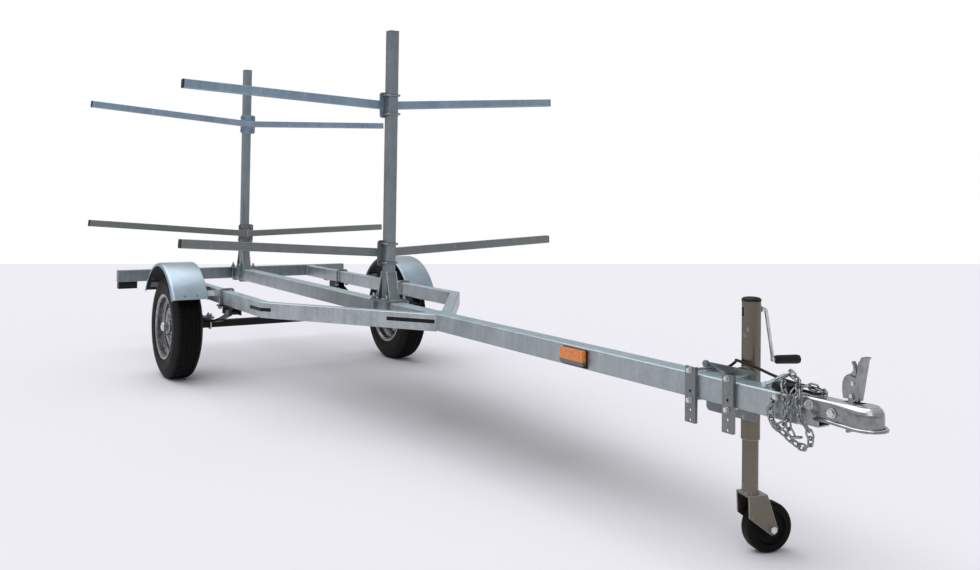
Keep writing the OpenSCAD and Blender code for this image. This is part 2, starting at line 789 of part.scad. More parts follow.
module tail_lamp_lenses() {
  color("darkred") both_sides()
    translate([lamp_back_x, lamp_in_y + 2, lamp_low_z + 2]) difference() {
      cube([lens_thick - seat_gap, lamp_out_y - lamp_in_y - 4, 94]);
      translate([3, 3, 3]) cube([lens_thick, lamp_out_y - lamp_in_y - 10, 88]);
    }
}

module marker_lenses() {
  color("orange") both_sides() {
    mid_x = (marker_x[0] + marker_x[1]) / 2;
    mid_z = (marker_z[0] + marker_z[1]) / 2 + 3;
    translate([mid_x, spine_half + 2 * seat_gap + marker_base_depth, mid_z]) rotate([-90, 0, 0])
      difference() {
        linear_extrude(marker_lens_depth) rounded_rect(marker_x[1] - marker_x[0] - 6, 54, 8);
        translate([0, 0, -1]) linear_extrude(marker_lens_depth - 1)
          rounded_rect(marker_x[1] - marker_x[0] - 11, 49, 6);
      }
  }
}

// Wheels; drawn about Z with the outboard side up, then turned onto the axle

module at_right_wheel() { translate([0, -half_track, axle_z]) rotate([90, 0, 0]) children(); }
module at_left_wheel() { translate([0, half_track, axle_z]) rotate([-90, 0, 0]) mirror([0, 1, 0]) children(); }

module at_studs() {
  for (i = [0 : stud_count - 1])
    rotate([0, 0, stud_phase + i * 360 / stud_count]) translate([stud_circle_r, 0, 0]) children();
}

module tyre() {
  r = tyre_diameter / 2;
  w = tyre_width / 2;
  side = [
    [bead_seat_r + seat_gap, 47], [bead_seat_r + seat_gap, 61.7], [172.3, 66.1], [rim_r, 68],
    [rim_r + 1, rim_half - 3],
    [rim_r + 14, w - 5], [rim_r + 32, w - 1], [r - 54, w], [r - 40, w - 3], [r - 22, w - 10],
    [r - 10, w - 17], [r - 4, w - 23], [r - 1.5, w - 32]
  ];
  grooves = [
    [r - 1, w - 38], [r - 8, w - 39], [r - 8, w - 45], [r - 0.5, w - 46],
    [r, 14], [r - 8, 13], [r - 8, 7], [r, 6]
  ];
  half = concat(side, grooves);
  cavity = [[r - 16, 20], [r - 20, w - 28], [r - 40, w - 16], [r - 62, w - 11], [rim_r + 6, w - 18], [bead_seat_r + 12, 50]];
  outline = concat(half, [for (i = [len(half) - 1 : -1 : 0]) [half[i][0], -half[i][1]]]);
  inside = concat(cavity, [for (i = [len(cavity) - 1 : -1 : 0]) [cavity[i][0], -cavity[i][1]]]);
  opening = [[bead_seat_r - 20, 47], [bead_seat_r + 14, 47], [bead_seat_r + 14, -47], [bead_seat_r - 20, -47]];
  color(black_paint) rotate_extrude($fn = 128) difference() {
    polygon(outline);
    polygon(inside);
    polygon(opening);
  }
}

module rim() {
  barrel = [
    [rim_r, 68.5], [172, 66.5], [bead_seat_r, 62], [bead_seat_r - 1, 38], [148, 28], [148, -20],
    [bead_seat_r - 1, -32], [bead_seat_r, -62], [172, -66.5], [rim_r, -68.5],
    [rim_r, -rim_half], [170, -70.5], [163, -65], [162, -34.5], [144, -22.5],
    [144, 30.5], [162, 40.5], [163, 65], [170, 70.5], [rim_r, rim_half]
  ];
  disc = [
    [33, hub_face], [33, 25], [76, 25], [88, 33], [104, 35], [124, 27], [137, 15], [144, 11],
    [144, -8], [140, -8], [140, 8], [134, 11.5], [122, 23], [103, 31], [90, 29], [78, hub_face]
  ];
  color(zinc) difference() {
    rotate_extrude($fn = 128) union() {
      polygon(barrel);
      polygon(disc);
    }
    at_studs() cylinder(h = 50, r = stud_r + 1, $fn = 32);
    for (i = [0 : stud_count - 1]) rotate([0, 0, stud_phase + (i + 0.5) * 360 / stud_count])
      translate([118, 0, 0]) slot_hole();
  }
}

module slot_hole() {
  for (s = [-1, 1]) translate([0, s * 13, 0]) cylinder(h = 60, r = 8, $fn = 32);
  translate([-8, -13, 0]) cube([16, 26, 60]);
}

module hub() {
  color(zinc) {
    rotate_extrude($fn = 96) polygon([
      [hub_bore_r, -42], [hub_barrel_r + 4, -42], [hub_barrel_r + 4, -20], [hub_barrel_r, -12],
      [hub_barrel_r, 2], [hub_barrel_r + 4, 9], [72, 9], [72, hub_face - seat_gap],
      [hub_barrel_r - 0.5, hub_face - seat_gap], [hub_barrel_r - 0.5, 42], [hub_bore_r, 42]
    ]);
    at_studs() translate([0, 0, 12]) cylinder(h = 34, r = stud_r, $fn = 24);
  }
}

module wheel_nuts() {
  color(zinc) at_studs() translate([0, 0, hub_face + disc_thick + seat_gap]) nut(19, 16, stud_r);
}

module hub_cap() {
  color(zinc) rotate_extrude($fn = 64) polygon([
    [cap_r - 2, 33], [cap_r, 33], [cap_r, 42 + seat_gap], [cap_r + 3.5, 42 + seat_gap],
    [cap_r + 3.5, 45], [cap_r, 46], [cap_r, 74], [cap_r - 3, 79], [cap_r - 9, cap_end], [0, cap_end],
    [0, cap_end - 2], [cap_r - 9.5, cap_end - 2], [cap_r - 5, 77.5], [cap_r - 2, 73]
  ]);
}

module wheel_bearings() {
  color(zinc) for (z = [[-38, -20], [8, 26]])
    translate([0, 0, z[0]]) difference() {
      cylinder(h = z[1] - z[0], r = hub_bore_r - running_gap, $fn = 64);
      translate([0, 0, -1]) cylinder(h = z[1] - z[0] + 2, r = spindle_r + running_gap, $fn = 64);
    }
}

// Coupling

// Revolved dome with a rounded shoulder, shrunk by inset for its hollow
module dome_solid(inset, base_z) {
  r = dome_r - inset;
  top = dome_top_z - inset;
  f = dome_fillet - inset / 2;
  arc = [for (a = [90 : -15 : 0]) [r - f + f * cos(a), top - f + f * sin(a)]];
  translate([ball_x, 0, 0]) rotate_extrude($fn = 48) polygon(concat([[0, top]], arc, [[r, base_z], [0, base_z]]));
}

// Rounded-top block across the neck, its bottom square
module neck_solid(x0, x1, half, top_z, corner, base_z) {
  translate([x0, 0, 0]) rotate([90, 0, 90]) linear_extrude(x1 - x0) {
    translate([-half, base_z]) square([2 * half, top_z - corner - base_z]);
    translate([-half + corner, base_z]) square([2 * (half - corner), top_z - base_z]);
    for (s = [-1, 1]) translate([s * (half - corner), top_z - corner]) circle(corner, $fn = 32);
  }
}

module coupling_solid(inset, base_z) {
  neck_solid(neck_back_x - (inset > 0 ? 1 : 0), neck_end_x, neck_half - inset, neck_top_z - inset, neck_corner - inset / 2, base_z);
  hull() {
    neck_solid(neck_end_x - 1, neck_end_x, neck_half - inset, neck_top_z - inset, neck_corner - inset / 2, base_z);
    dome_solid(inset, base_z);
  }
}

module coupling_body() {
  color(zinc) difference() {
    union() {
      difference() {
        union() {
          coupling_solid(0, coupling_base_z);
          coupling_flange();
        }
        coupling_solid(coupling_wall, coupling_base_z - 1);
      }
      ball_seat();
      handle_ears();
    }
    translate([3853, -handle_half_width - seat_gap, 510]) cube([57, 2 * (handle_half_width + seat_gap), 70]);
    rod_y(jaw_pin[0], -60, jaw_pin[1], 120, jaw_pin_r + seat_gap);
    rod_y(neck_bolt[0], -60, neck_bolt[1], 120, neck_bolt[2] + seat_gap);
  }
}

// Two ears beside the slot that carry the latch handle's pin
module handle_ears() {
  for (s = [0, 1]) mirror([0, s, 0])
    translate([handle_pin[0], handle_half_width + handle_ear, 0]) rotate([90, 0, 0])
      linear_extrude(handle_ear + seat_gap) difference() {
        union() {
          translate([0, handle_pin[1]]) circle(8, $fn = 32);
          translate([-8, 521]) square([16, handle_pin[1] - 521]);
        }
        translate([0, handle_pin[1]]) circle(handle_pin_r + running_gap, $fn = 32);
      }
}

// Flat edge that stands out round the bottom of the pressing
module coupling_flange() {
  translate([0, 0, coupling_base_z]) linear_extrude(flange_thick) {
    translate([ball_x, 0]) circle(flange_r, $fn = 96);
    polygon([
      [3781, -neck_half - 9], [neck_end_x, -neck_half - 9], [ball_x - 8, -flange_r + 0.6],
      [ball_x - 8, flange_r - 0.6], [neck_end_x, neck_half + 9], [3781, neck_half + 9]
    ]);
  }
}

// Thickened ring that the tow ball turns in, open at the back for the jaw
module ball_seat() {
  difference() {
    translate([ball_x, 0, coupling_base_z]) cylinder(h = dome_top_z - coupling_base_z - 3, r = ball_r + 6, $fn = 64);
    translate([ball_x, 0, ball_z]) sphere(ball_r + 0.4, $fn = 64);
    translate([ball_x, 0, coupling_base_z - 1]) cylinder(h = ball_z - coupling_base_z + 1, r = ball_r + 0.4, $fn = 64);
    translate([ball_x - 60, -jaw_width / 2 - 2, coupling_base_z - 1]) cube([60, jaw_width + 4, 70]);
  }
}

module coupling_bolts() {
  color(zinc) {
    for (p = [[neck_bolt, neck_half + seat_gap], [[jaw_pin[0], jaw_pin[1], jaw_pin_r], jaw_pin_seat]]) {
      bolt = p[0];
      seat = p[1];
      rod_y(bolt[0], -seat - 11, bolt[1], 2 * seat + 12, bolt[2]);
      translate([bolt[0], -seat, bolt[1]]) rotate([90, 0, 0]) washer(13, 2.5, bolt[2]);
      translate([bolt[0], -seat - 2.6, bolt[1]]) rotate([90, 0, 0]) nut(19, 8, bolt[2]);
      translate([bolt[0], seat, bolt[1]]) rotate([-90, 0, 0]) hexagon(19, 8);
    }
    chain_bolt();
  }
}

// Two cheeks with a leaning front web, on a pin above the slot
module latch_handle() {
  cheek = [
    [3855, 540], [3893, 540], [3899, 566], [3909, 640], [3900, 640], [3893, 596], [3888, 598],
    [3872, 600], [3860, 594], [3853, 582], [3852, 560]
  ];
  color(zinc) {
    for (y = [-handle_half_width, handle_half_width - handle_wall])
      translate([0, y + handle_wall, 0]) rotate([90, 0, 0]) linear_extrude(handle_wall) polygon(cheek);
    translate([0, handle_half_width, 0]) rotate([90, 0, 0]) linear_extrude(2 * handle_half_width)
      polygon([[3893, 538], [3898, 538], [3916, 644], [3922, 652], [3908, 652], [3904, 644]]);
    rod_y(handle_pin[0], -handle_half_width - 5, handle_pin[1], 2 * handle_half_width + 10, handle_pin_r);
    rod_y(trigger_pin[0], -handle_half_width - 2, trigger_pin[1], 2 * handle_half_width + 4, trigger_pin_r);
  }
}

// Finger lever that hooks back over the handle's cheeks
module latch_trigger() {
  shape = [
    [3873, 573], [3889, 573], [3889, 604], [3888, 618], [3884, 628], [3878, 637], [3875, 635],
    [3880, 624], [3881, 615], [3874, 606], [3862, 600], [3853, 592], [3851, 585], [3855, 582],
    [3862, 588], [3870, 590]
  ];
  color(zinc) translate([0, 6, 0]) rotate([90, 0, 0]) linear_extrude(12) difference() {
    polygon(shape);
    translate(trigger_pin) circle(trigger_pin_r + running_gap, $fn = 24);
  }
}

// Jaw behind the ball, hung on the side bolt
module ball_jaw() {
  face = [for (a = [184 : 12 : 220]) [ball_x, ball_z] + (ball_r + jaw_gap) * [cos(a), sin(a)]];
  back = [
    [3892, 476], [3886, 468], [3879, 460], [3868, 452], [3861, 451], [3859, 456], [3867, 465],
    [3863, 479], [3846, 489], [3846, 509], [3862, 512], [3884, 509]
  ];
  color(zinc) difference() {
    union() {
      translate([0, jaw_width / 2, 0]) rotate([90, 0, 0]) linear_extrude(jaw_width) polygon(concat(face, back));
      rod_y(jaw_pin[0], -jaw_width / 2 - 1, jaw_pin[1], jaw_width + 2, jaw_hub_r);
    }
    rod_y(jaw_pin[0], -jaw_width, jaw_pin[1], 2 * jaw_width, jaw_pin_r + running_gap);
  }
}

// Chain and lead

function unit(v) = v / norm(v);

// Smooth curve through the route's points
function curve_at(p, t) =
  let (
    last = len(p) - 1,
    i = min(floor(t), last - 1),
    u = t - i,
    a = p[max(i - 1, 0)], b = p[i], c = p[i + 1], d = p[min(i + 2, last)]
  )
  0.5 * (2 * b + (c - a) * u + (2 * a - 5 * b + 4 * c - d) * u * u + (3 * b - a - 3 * c + d) * u * u * u);

// Places along the curve that are each one step from the place before
function walk(p, step, t) =
  let (next = step_on(p, curve_at(p, t), step, t))
  next > len(p) - 1 ? [curve_at(p, t)] : concat([curve_at(p, t)], walk(p, step, next));
function step_on(p, from, step, t) =
  t > len(p) - 1 || norm(curve_at(p, min(t, len(p) - 1)) - from) >= step ? t : step_on(p, from, step, t + 0.01);

// Places and directions of the links, from the shackle back to the bolt
function backwards(list) = [for (i = [len(list) - 1 : -1 : 0]) list[i]];
chain_places = backwards(walk(chain_route, chain_pitch, 0));
chain_ways = [for (i = [0 : len(chain_places) - 2]) unit(chain_places[i + 1] - chain_places[i])];
chain_middles = [for (i = [0 : len(chain_places) - 2]) (chain_places[i] + chain_places[i + 1]) / 2];

// The first link's flat side faces sideways; the direction is carried from link to link without twist
function flatten(v, way) = unit(v - (v * way) * way);
chain_sides = [
  for (i = 0, v = flatten([0, 1, 0], chain_ways[0]);
    i < len(chain_ways);
    i = i + 1, v = i < len(chain_ways) ? flatten(v, chain_ways[i]) : v) v
];

// One link about the origin, long along X, lying in the XY plane
module chain_link() {
  r = (chain_width - chain_wire) / 2;
  straight = chain_inner + chain_wire - 2 * r;
  for (s = [0, 1]) mirror([s, 0, 0]) translate([straight / 2, 0, 0])
    rotate_extrude(angle = 180, start = 270, $fn = 48) translate([r, 0]) circle(chain_wire / 2, $fn = 24);
  for (s = [-1, 1]) translate([-straight / 2, s * r, 0]) rotate([0, 90, 0])
    cylinder(h = straight, r = chain_wire / 2, $fn = 24);
}

// Turns X onto the unit direction way and Z towards side
module facing(way, side) {
  yaw = atan2(way[1], way[0]);
  level = [-sin(yaw), cos(yaw), 0];
  roll = atan2(-side * level, side * cross(way, level));
  rotate([0, -asin(way[2]), yaw]) rotate([roll, 0, 0]) children();
}

module safety_chain() {
  color(zinc) for (i = [0 : len(chain_ways) - 1])
    translate(chain_middles[i]) facing(chain_ways[i], chain_sides[i])
      rotate([i % 2 == 0 ? 0 : 90, 0, 0]) chain_link();
}

// Bow shackle that the chain's last link hangs in, leaning down onto the spine, with its pin
module chain_shackle() {
  reach = chain_inner / 2 - shackle_r - seat_gap;
  color(zinc) translate(chain_middles[0] - reach * chain_ways[0]) rotate([0, 180 - shackle_lean, 0]) {
    translate([shackle_half, 0, 0]) rotate_extrude(angle = 180, start = 90, $fn = 48)
      translate([shackle_half, 0]) circle(shackle_r, $fn = 24);
    for (s = [-1, 1]) {
      translate([shackle_half, s * shackle_half, 0]) rotate([0, 90, 0])
        cylinder(h = shackle_length - 6, r = shackle_r, $fn = 24);
      translate([shackle_half + shackle_length, s * shackle_half - 4.5, 0]) rotate([-90, 0, 0])
        washer(8, 9, shackle_r);
    }
    translate([shackle_half + shackle_length, -shackle_half - 7, 0]) rotate([-90, 0, 0]) {
      cylinder(h = 2 * shackle_half + 14, r = shackle_r, $fn = 32);
      translate([0, 0, 2 * shackle_half + 14 - 2.5]) cylinder(h = 6, r = 7, $fn = 32);
    }
  }
}

// Bolt in the spine's near face that the chain's first link hangs on
function chain_bolt_eye() =
  let (last = len(chain_ways) - 1)
  chain_middles[last] + (chain_inner / 2 - chain_bolt_r - seat_gap) * chain_ways[last];

module chain_bolt() {
  eye = chain_bolt_eye();
  rod_y(eye[0], eye[1] - 10, eye[2], -spine_half - eye[1] + 14, chain_bolt_r);
  translate([eye[0], -spine_half - seat_gap, eye[2]]) rotate([90, 0, 0]) nut(13, 6, chain_bolt_r);
  translate([eye[0], eye[1] - 5, eye[2]]) rotate([90, 0, 0]) washer(9, 2, chain_bolt_r);
  translate([eye[0], eye[1] - 7.2, eye[2]]) rotate([90, 0, 0]) hexagon(13, 5);
}

// Round cable swept along a curve as one closed skin
module swept_cable(points, r, sides) {
  n = len(points);
  tangent = [for (i = [0 : n - 1]) unit(points[min(i + 1, n - 1)] - points[max(i - 1, 0)])];
  start = unit(cross(tangent[0], [0.3, 0.2, 1]));
  normals = [for (i = 0, v = start; i < n; i = i + 1, v = i < n ? unit(v - (v * tangent[i]) * tangent[i]) : v) v];
  rings = [for (i = [0 : n - 1], k = [0 : sides - 1])
    let (side = cross(tangent[i], normals[i]), a = 360 * k / sides)
    points[i] + r * (cos(a) * normals[i] + sin(a) * side)];
  walls = [for (i = [0 : n - 2], k = [0 : sides - 1])
    let (k2 = (k + 1) % sides)
    [i * sides + k, (i + 1) * sides + k, (i + 1) * sides + k2, i * sides + k2]];
  first = [for (k = [0 : sides - 1]) k];
  last = [for (k = [sides - 1 : -1 : 0]) (n - 1) * sides + k];
  polyhedron(rings, concat([first], walls, [last]));
}

module wiring_lead() {
  steps = 62;
  last = len(lead_route) - 1;
  color(plastic) swept_cable([for (i = [0 : steps]) curve_at(lead_route, last * i / steps)], lead_r, lead_sides);
}

// Flat seven-pin plug on the end of the lead
module wiring_plug() {
  color(plastic) translate([plug_x[0], -6, plug_z]) {
    rotate([90, 0, 90]) difference() {
      linear_extrude(62) rounded_rect(44, 20, 5);
      translate([0, 0, -1]) linear_extrude(16) rounded_rect(38, 14, 3);
    }
    for (i = [-3 : 3]) translate([1, i * 5, 0]) rotate([0, 90, 0]) cylinder(h = 16, r = 1.2, $fn = 16);
    translate([60, 0, 0]) rotate([0, 90, 0]) difference() {
      cylinder(h = plug_x[1] - plug_x[0] - 60, r1 = 10, r2 = 7, $fn = 32);
      translate([0, 0, 8]) cylinder(h = 20, r = lead_r + 0.4, $fn = 24);
    }
  }
}

// Jockey wheel

module jockey_mount_plate() {
  w = mount_plate_x[1] - mount_plate_x[0];
  h = mount_plate_z[1] - mount_plate_z[0];
  color(zinc) translate([0, mount_plate_y + mount_plate_thick, 0]) rotate([90, 0, 0])
    linear_extrude(mount_plate_thick) difference() {
      translate([mount_plate_x[0] + w / 2, mount_plate_z[0] + h / 2]) rounded_rect(w, h, 14);
      for (x = strap_x, z = [clamp_bolt_low_z, clamp_bolt_top_z])
        translate([x, z]) circle(clamp_bolt_r + 0.5, $fn = 24);
      translate([plunger_x, plunger_z]) circle(plunger_r + running_gap, $fn = 24);
      translate([jockey_x, swing_z]) circle(swing_pin_r + running_gap, $fn = 32);
    }
}

// Channel-section straps on the near side of the spine
module jockey_clamp_straps() {
  color(zinc) for (x = strap_x) translate([x, -spine_half - seat_gap, 0]) difference() {
    translate([-strap_width / 2, -strap_depth, strap_z[0]])
      cube([strap_width, strap_depth, strap_z[1] - strap_z[0]]);
    translate([-strap_width / 2 + strap_wall, -strap_depth + strap_wall, strap_z[0] - 1])
      cube([strap_width - 2 * strap_wall, strap_depth, strap_z[1] - strap_z[0] + 2]);
    for (z = [clamp_bolt_low_z, clamp_bolt_top_z]) rod_y(0, -40, z, 60, clamp_bolt_r + 0.5);
    for (z = [469, 412, 382]) rod_y(0, -40, z, 60, 4.5);
  }
}

module jockey_clamp_bolts() {
  far_y = mount_plate_y + mount_plate_thick + seat_gap;
  near_y = -spine_half - 2 * seat_gap - strap_depth;
  color(zinc) for (x = strap_x, z = [clamp_bolt_low_z, clamp_bolt_top_z]) {
    rod_y(x, near_y - 13, z, far_y - near_y + 13, clamp_bolt_r);
    rod_y(x, far_y, z, 3.2, 9);
    translate([x, near_y, z]) rotate([90, 0, 0]) {
      washer(9, 2, clamp_bolt_r);
      translate([0, 0, 2.2]) nut(14, 8, clamp_bolt_r);
    }
  }
}

// Lock pin with a pull bar that runs back over the spine to its knob
module lock_plunger() {
  bar_y = 10;
  reach = norm(plunger_knob - [plunger_x, plunger_z]);
  lift = atan2(plunger_knob[1] - plunger_z, plunger_x - plunger_knob[0]);
  color(zinc) translate([0, -plunger_out, 0]) {
    rod_y(plunger_x, bar_y + 1, plunger_z, swing_disc_y + swing_disc_thick - bar_y - 1, plunger_r);
    translate([plunger_x, bar_y, plunger_z]) rotate([0, 180 + lift, 0]) {
      translate([0, 0, -5]) cube([reach, 4, 10]);
      rotate([-90, 0, 0]) cylinder(h = 4, r = 5.5, $fn = 32);
    }
    rod_y(plunger_knob[0], bar_y - 6, plunger_knob[1], 9, 11);
  }
}

// Pieces drawn about the jockey tube's axis with the crank's shaft along +Y
module at_crank() {
  translate([jockey_x, jockey_y, 0]) rotate([0, 0, -crank_turn]) children();
}

// Outer tube with the disc that turns on the mount plate; two lock holes, leg down and leg up
module jockey_outer_tube() {
  hole = [plunger_x - jockey_x, plunger_z - swing_z];
  color(zinc) difference() {
    union() {
      translate([jockey_x, jockey_y, tube_z[0]]) cylinder(h = tube_z[1] - tube_z[0], r = tube_r, $fn = 64);
      rod_y(jockey_x, swing_disc_y, swing_z, swing_disc_thick + 3, swing_disc_r);
      rod_y(jockey_x, mount_plate_y, swing_z, 20, swing_pin_r);
      at_crank() rod_y(0, tube_r - 3, crank_z, 7, 10);
    }
    translate([jockey_x, jockey_y, tube_z[0] - 1])
      cylinder(h = gear_z - seat_gap - screw_seat - tube_z[0] + 1, r = tube_r - tube_wall, $fn = 64);
    translate([jockey_x, jockey_y, gear_z - seat_gap])
      cylinder(h = tube_z[1] - gear_z + 2, r = tube_r - tube_wall, $fn = 64);
    translate([jockey_x, jockey_y, gear_z - 20]) cylinder(h = 40, r = screw_r + running_gap, $fn = 32);
    at_crank() {
      rod_y(0, 0, crank_z, 60, crank_r + running_gap);
      translate([-7, -40, 700]) cube([14, 30, 28]);
    }
    for (p = [hole, [-hole[1], hole[0]]])
      rod_y(jockey_x + p[0], swing_disc_y - 1, swing_z + p[1], 8, plunger_r + running_gap);
  }
}

module jockey_cap() {
  color(plastic) translate([jockey_x, jockey_y, tube_z[1]]) rotate_extrude($fn = 64) polygon([
    [tube_r - tube_wall - 3, -5], [tube_r - tube_wall - 0.3, -5], [tube_r - tube_wall - 0.3, seat_gap],
    [tube_r + 1, seat_gap], [tube_r + 1, 7], [tube_r - 4, 11], [tube_r - 14, 13], [0, 13.5],
    [0, 10.5], [tube_r - 14, 10], [tube_r - 6, 7]
  ]);
}

module jockey_inner_tube() {
  color(zinc) translate([jockey_x, jockey_y, inner_z[0]]) {
    difference() {
      cylinder(h = inner_z[1] - inner_z[0], r = inner_r, $fn = 64);
      translate([0, 0, 3]) cylinder(h = inner_z[1] - inner_z[0] + 2, r = inner_r - inner_wall, $fn = 64);
    }
    translate([0, 0, inner_z[1] - inner_z[0] - 22]) difference() {
      cylinder(h = 20, r = inner_r - inner_wall + 1, $fn = 48);
      translate([0, 0, -1]) cylinder(h = 22, r = screw_r + running_gap, $fn = 32);
    }
  }
}

// Lifting screw with its bevel gear
module jockey_screw() {
  color(zinc) translate([jockey_x, jockey_y, 0]) {
    translate([0, 0, 360]) cylinder(h = gear_z + 5 - 360, r = screw_r, $fn = 32);
    translate([0, 0, gear_z]) cylinder(h = 12, r1 = 20, r2 = 12, $fn = 48);
  }
}

module jockey_crank() {
  color(zinc) at_crank() {
    rod_y(0, 8, crank_z, crank_out - crank_bend - 8 + bend_overlap, crank_r);
    rod_y(0, 12, crank_z, 9, 11);
    translate([0, crank_out - crank_bend, crank_z - crank_bend]) {
      rotate([90, 0, 90]) rotate_extrude(angle = 90 - crank_lean, start = crank_lean, $fn = 48)
        translate([crank_bend, 0]) circle(crank_r + bend_swell, $fn = 24);
      translate([0, crank_bend * cos(crank_lean), crank_bend * sin(crank_lean)])
        rotate([180 + crank_lean, 0, 0]) translate([0, 0, -bend_overlap])
          cylinder(h = crank_arm + bend_overlap, r = crank_r, $fn = 24);
    }
    translate([0, crank_foot()[0], crank_foot()[1]]) sphere(crank_r + 2, $fn = 32);
    rod_y(0, crank_foot()[0], crank_foot()[1], grip_start + grip_length - 8, crank_r - 0.5);
  }
}

// Foot of the crank's arm: out from the tube's axis, and height
function crank_foot() = [
  crank_out - crank_bend * (1 - cos(crank_lean)) + crank_arm * sin(crank_lean),
  crank_z - crank_bend * (1 - sin(crank_lean)) - crank_arm * cos(crank_lean)
];

module crank_grip() {
  bore = crank_r - 0.5 + running_gap;
  color(plastic) at_crank() translate([0, crank_foot()[0] + grip_start, crank_foot()[1]])
    rotate([-90, 0, 0]) rotate_extrude($fn = 48) polygon([
      [bore, 0], [11, 0], [13, 3], [13.5, 50], [14, grip_length - 12], [12, grip_length - 3],
      [7, grip_length], [0, grip_length], [0, grip_length - 7], [bore, grip_length - 7]
    ]);
}

// Caster pieces, drawn with the wheel's axis along X and the trail along -Y, then turned
module at_caster() {
  translate([jockey_x, jockey_y, 0]) rotate([0, 0, -caster_turn]) children();
}
trail = norm([caster_x - jockey_x, caster_y - jockey_y]);

module jockey_fork() {
  inside = caster_wheel_width / 2 + 5;
  outside = inside + fork_thick;
  eye = 17;
  color(zinc) at_caster() difference() {
    union() {
      translate([0, 0, inner_z[0] - seat_gap - 6]) cylinder(h = 6, r = 27, $fn = 48);
      translate([-outside, fork_crown_y[0], fork_top_z - 6])
        cube([2 * outside, fork_crown_y[1] - fork_crown_y[0], 6]);
      for (s = [-1, 1]) translate([s > 0 ? inside : -outside, 0, 0]) rotate([90, 0, 90])
        linear_extrude(fork_thick) {
          polygon([
            [fork_crown_y[0], fork_top_z], [fork_crown_y[1], fork_top_z],
            [trail + 16, caster_wheel_r + 5.6], [trail - 9.7, caster_wheel_r - 13.9],
            [fork_crown_y[0] + 3, 112]
          ]);
          translate([trail, caster_wheel_r]) circle(eye, $fn = 32);
        }
    }
    translate([-60, trail, caster_wheel_r]) rotate([0, 90, 0])
      cylinder(h = 120, r = caster_bore_r, $fn = 32);
  }
}

module jockey_wheel() {
  r = caster_wheel_r;
  w = caster_wheel_width / 2;
  color(black_paint) at_caster() translate([0, trail, r]) rotate([0, 90, 0]) rotate_extrude($fn = 96) polygon([
    [caster_bore_r, -w], [20, -w], [20, -w + 8], [47, -w + 8], [51, -w + 1], [r - 8, -w + 1],
    [r - 2, -w + 6], [r, -w + 13], [r, w - 13], [r - 2, w - 6], [r - 8, w - 1], [51, w - 1],
    [47, w - 8], [20, w - 8], [20, w], [caster_bore_r, w]
  ]);
}

module jockey_wheel_bolt() {
  reach = caster_wheel_width / 2 + 5 + fork_thick;
  color(zinc) at_caster() translate([0, trail, caster_wheel_r]) rotate([0, 90, 0]) {
    translate([0, 0, -reach - 12]) cylinder(h = 2 * reach + 14, r = caster_bolt_r, $fn = 32);
    translate([0, 0, reach + seat_gap]) hexagon(19, 7.5);
    translate([0, 0, -reach - seat_gap - 9]) nut(19, 9, caster_bolt_r);
  }
}

from_axle() spine_beam();
from_axle() rear_crossbar();
from_axle() mirror([0, 1, 0]) side_rail();  // side_rail_right
from_axle() side_rail();  // side_rail_left
from_axle() front_mast();
from_axle() rear_mast();
from_axle() mast_caps();
from_axle() mast_u_bolts();
from_axle() front_upper_arm();
from_axle() front_lower_arm();
from_axle() rear_upper_arm();
from_axle() rear_lower_arm();
from_axle() arm_u_bolts();
from_axle() arm_end_caps();
from_axle() spring_hangers();
from_axle() hanger_bolts();
from_axle() mirror([0, 1, 0]) mudguard();  // mudguard_right
from_axle() mudguard();  // mudguard_left
from_axle() mudguard_stays();
from_axle() lamp_housings();
from_axle() tail_lamp_lenses();
from_axle() marker_lenses();
from_axle() coupling_body();
from_axle() coupling_bolts();
from_axle() latch_handle();
from_axle() latch_trigger();
from_axle() ball_jaw();
from_axle() safety_chain();
from_axle() chain_shackle();
from_axle() jockey_mount_plate();
from_axle() jockey_clamp_straps();
from_axle() jockey_clamp_bolts();
from_axle() lock_plunger();
from_axle() wiring_lead();
from_axle() wiring_plug();
from_axle() axle_beam();
from_axle() leaf_springs();
from_axle() spring_plates();
from_axle() axle_bolts();
from_axle() at_right_wheel() hub();  // hub_right
from_axle() at_left_wheel() hub();  // hub_left
from_axle() at_right_wheel() rim();  // rim_right
from_axle() at_left_wheel() rim();  // rim_left
from_axle() at_right_wheel() tyre();  // tyre_right
from_axle() at_left_wheel() tyre();  // tyre_left
from_axle() at_right_wheel() wheel_nuts();  // wheel_nuts_right
from_axle() at_left_wheel() wheel_nuts();  // wheel_nuts_left
from_axle() at_right_wheel() hub_cap();  // hub_cap_right
from_axle() at_left_wheel() hub_cap();  // hub_cap_left
from_axle() at_right_wheel() wheel_bearings();  // wheel_bearings_right
from_axle() at_left_wheel() wheel_bearings();  // wheel_bearings_left
from_axle() jockey_outer_tube();
from_axle() jockey_cap();
from_axle() jockey_inner_tube();
from_axle() jockey_screw();
from_axle() jockey_crank();
from_axle() crank_grip();
from_axle() jockey_fork();
from_axle() jockey_wheel();
from_axle() jockey_wheel_bolt();
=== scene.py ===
# Kayak trailer: finishes, small details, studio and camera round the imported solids.
import math

import bmesh
import bpy
from mathutils import Matrix, Vector


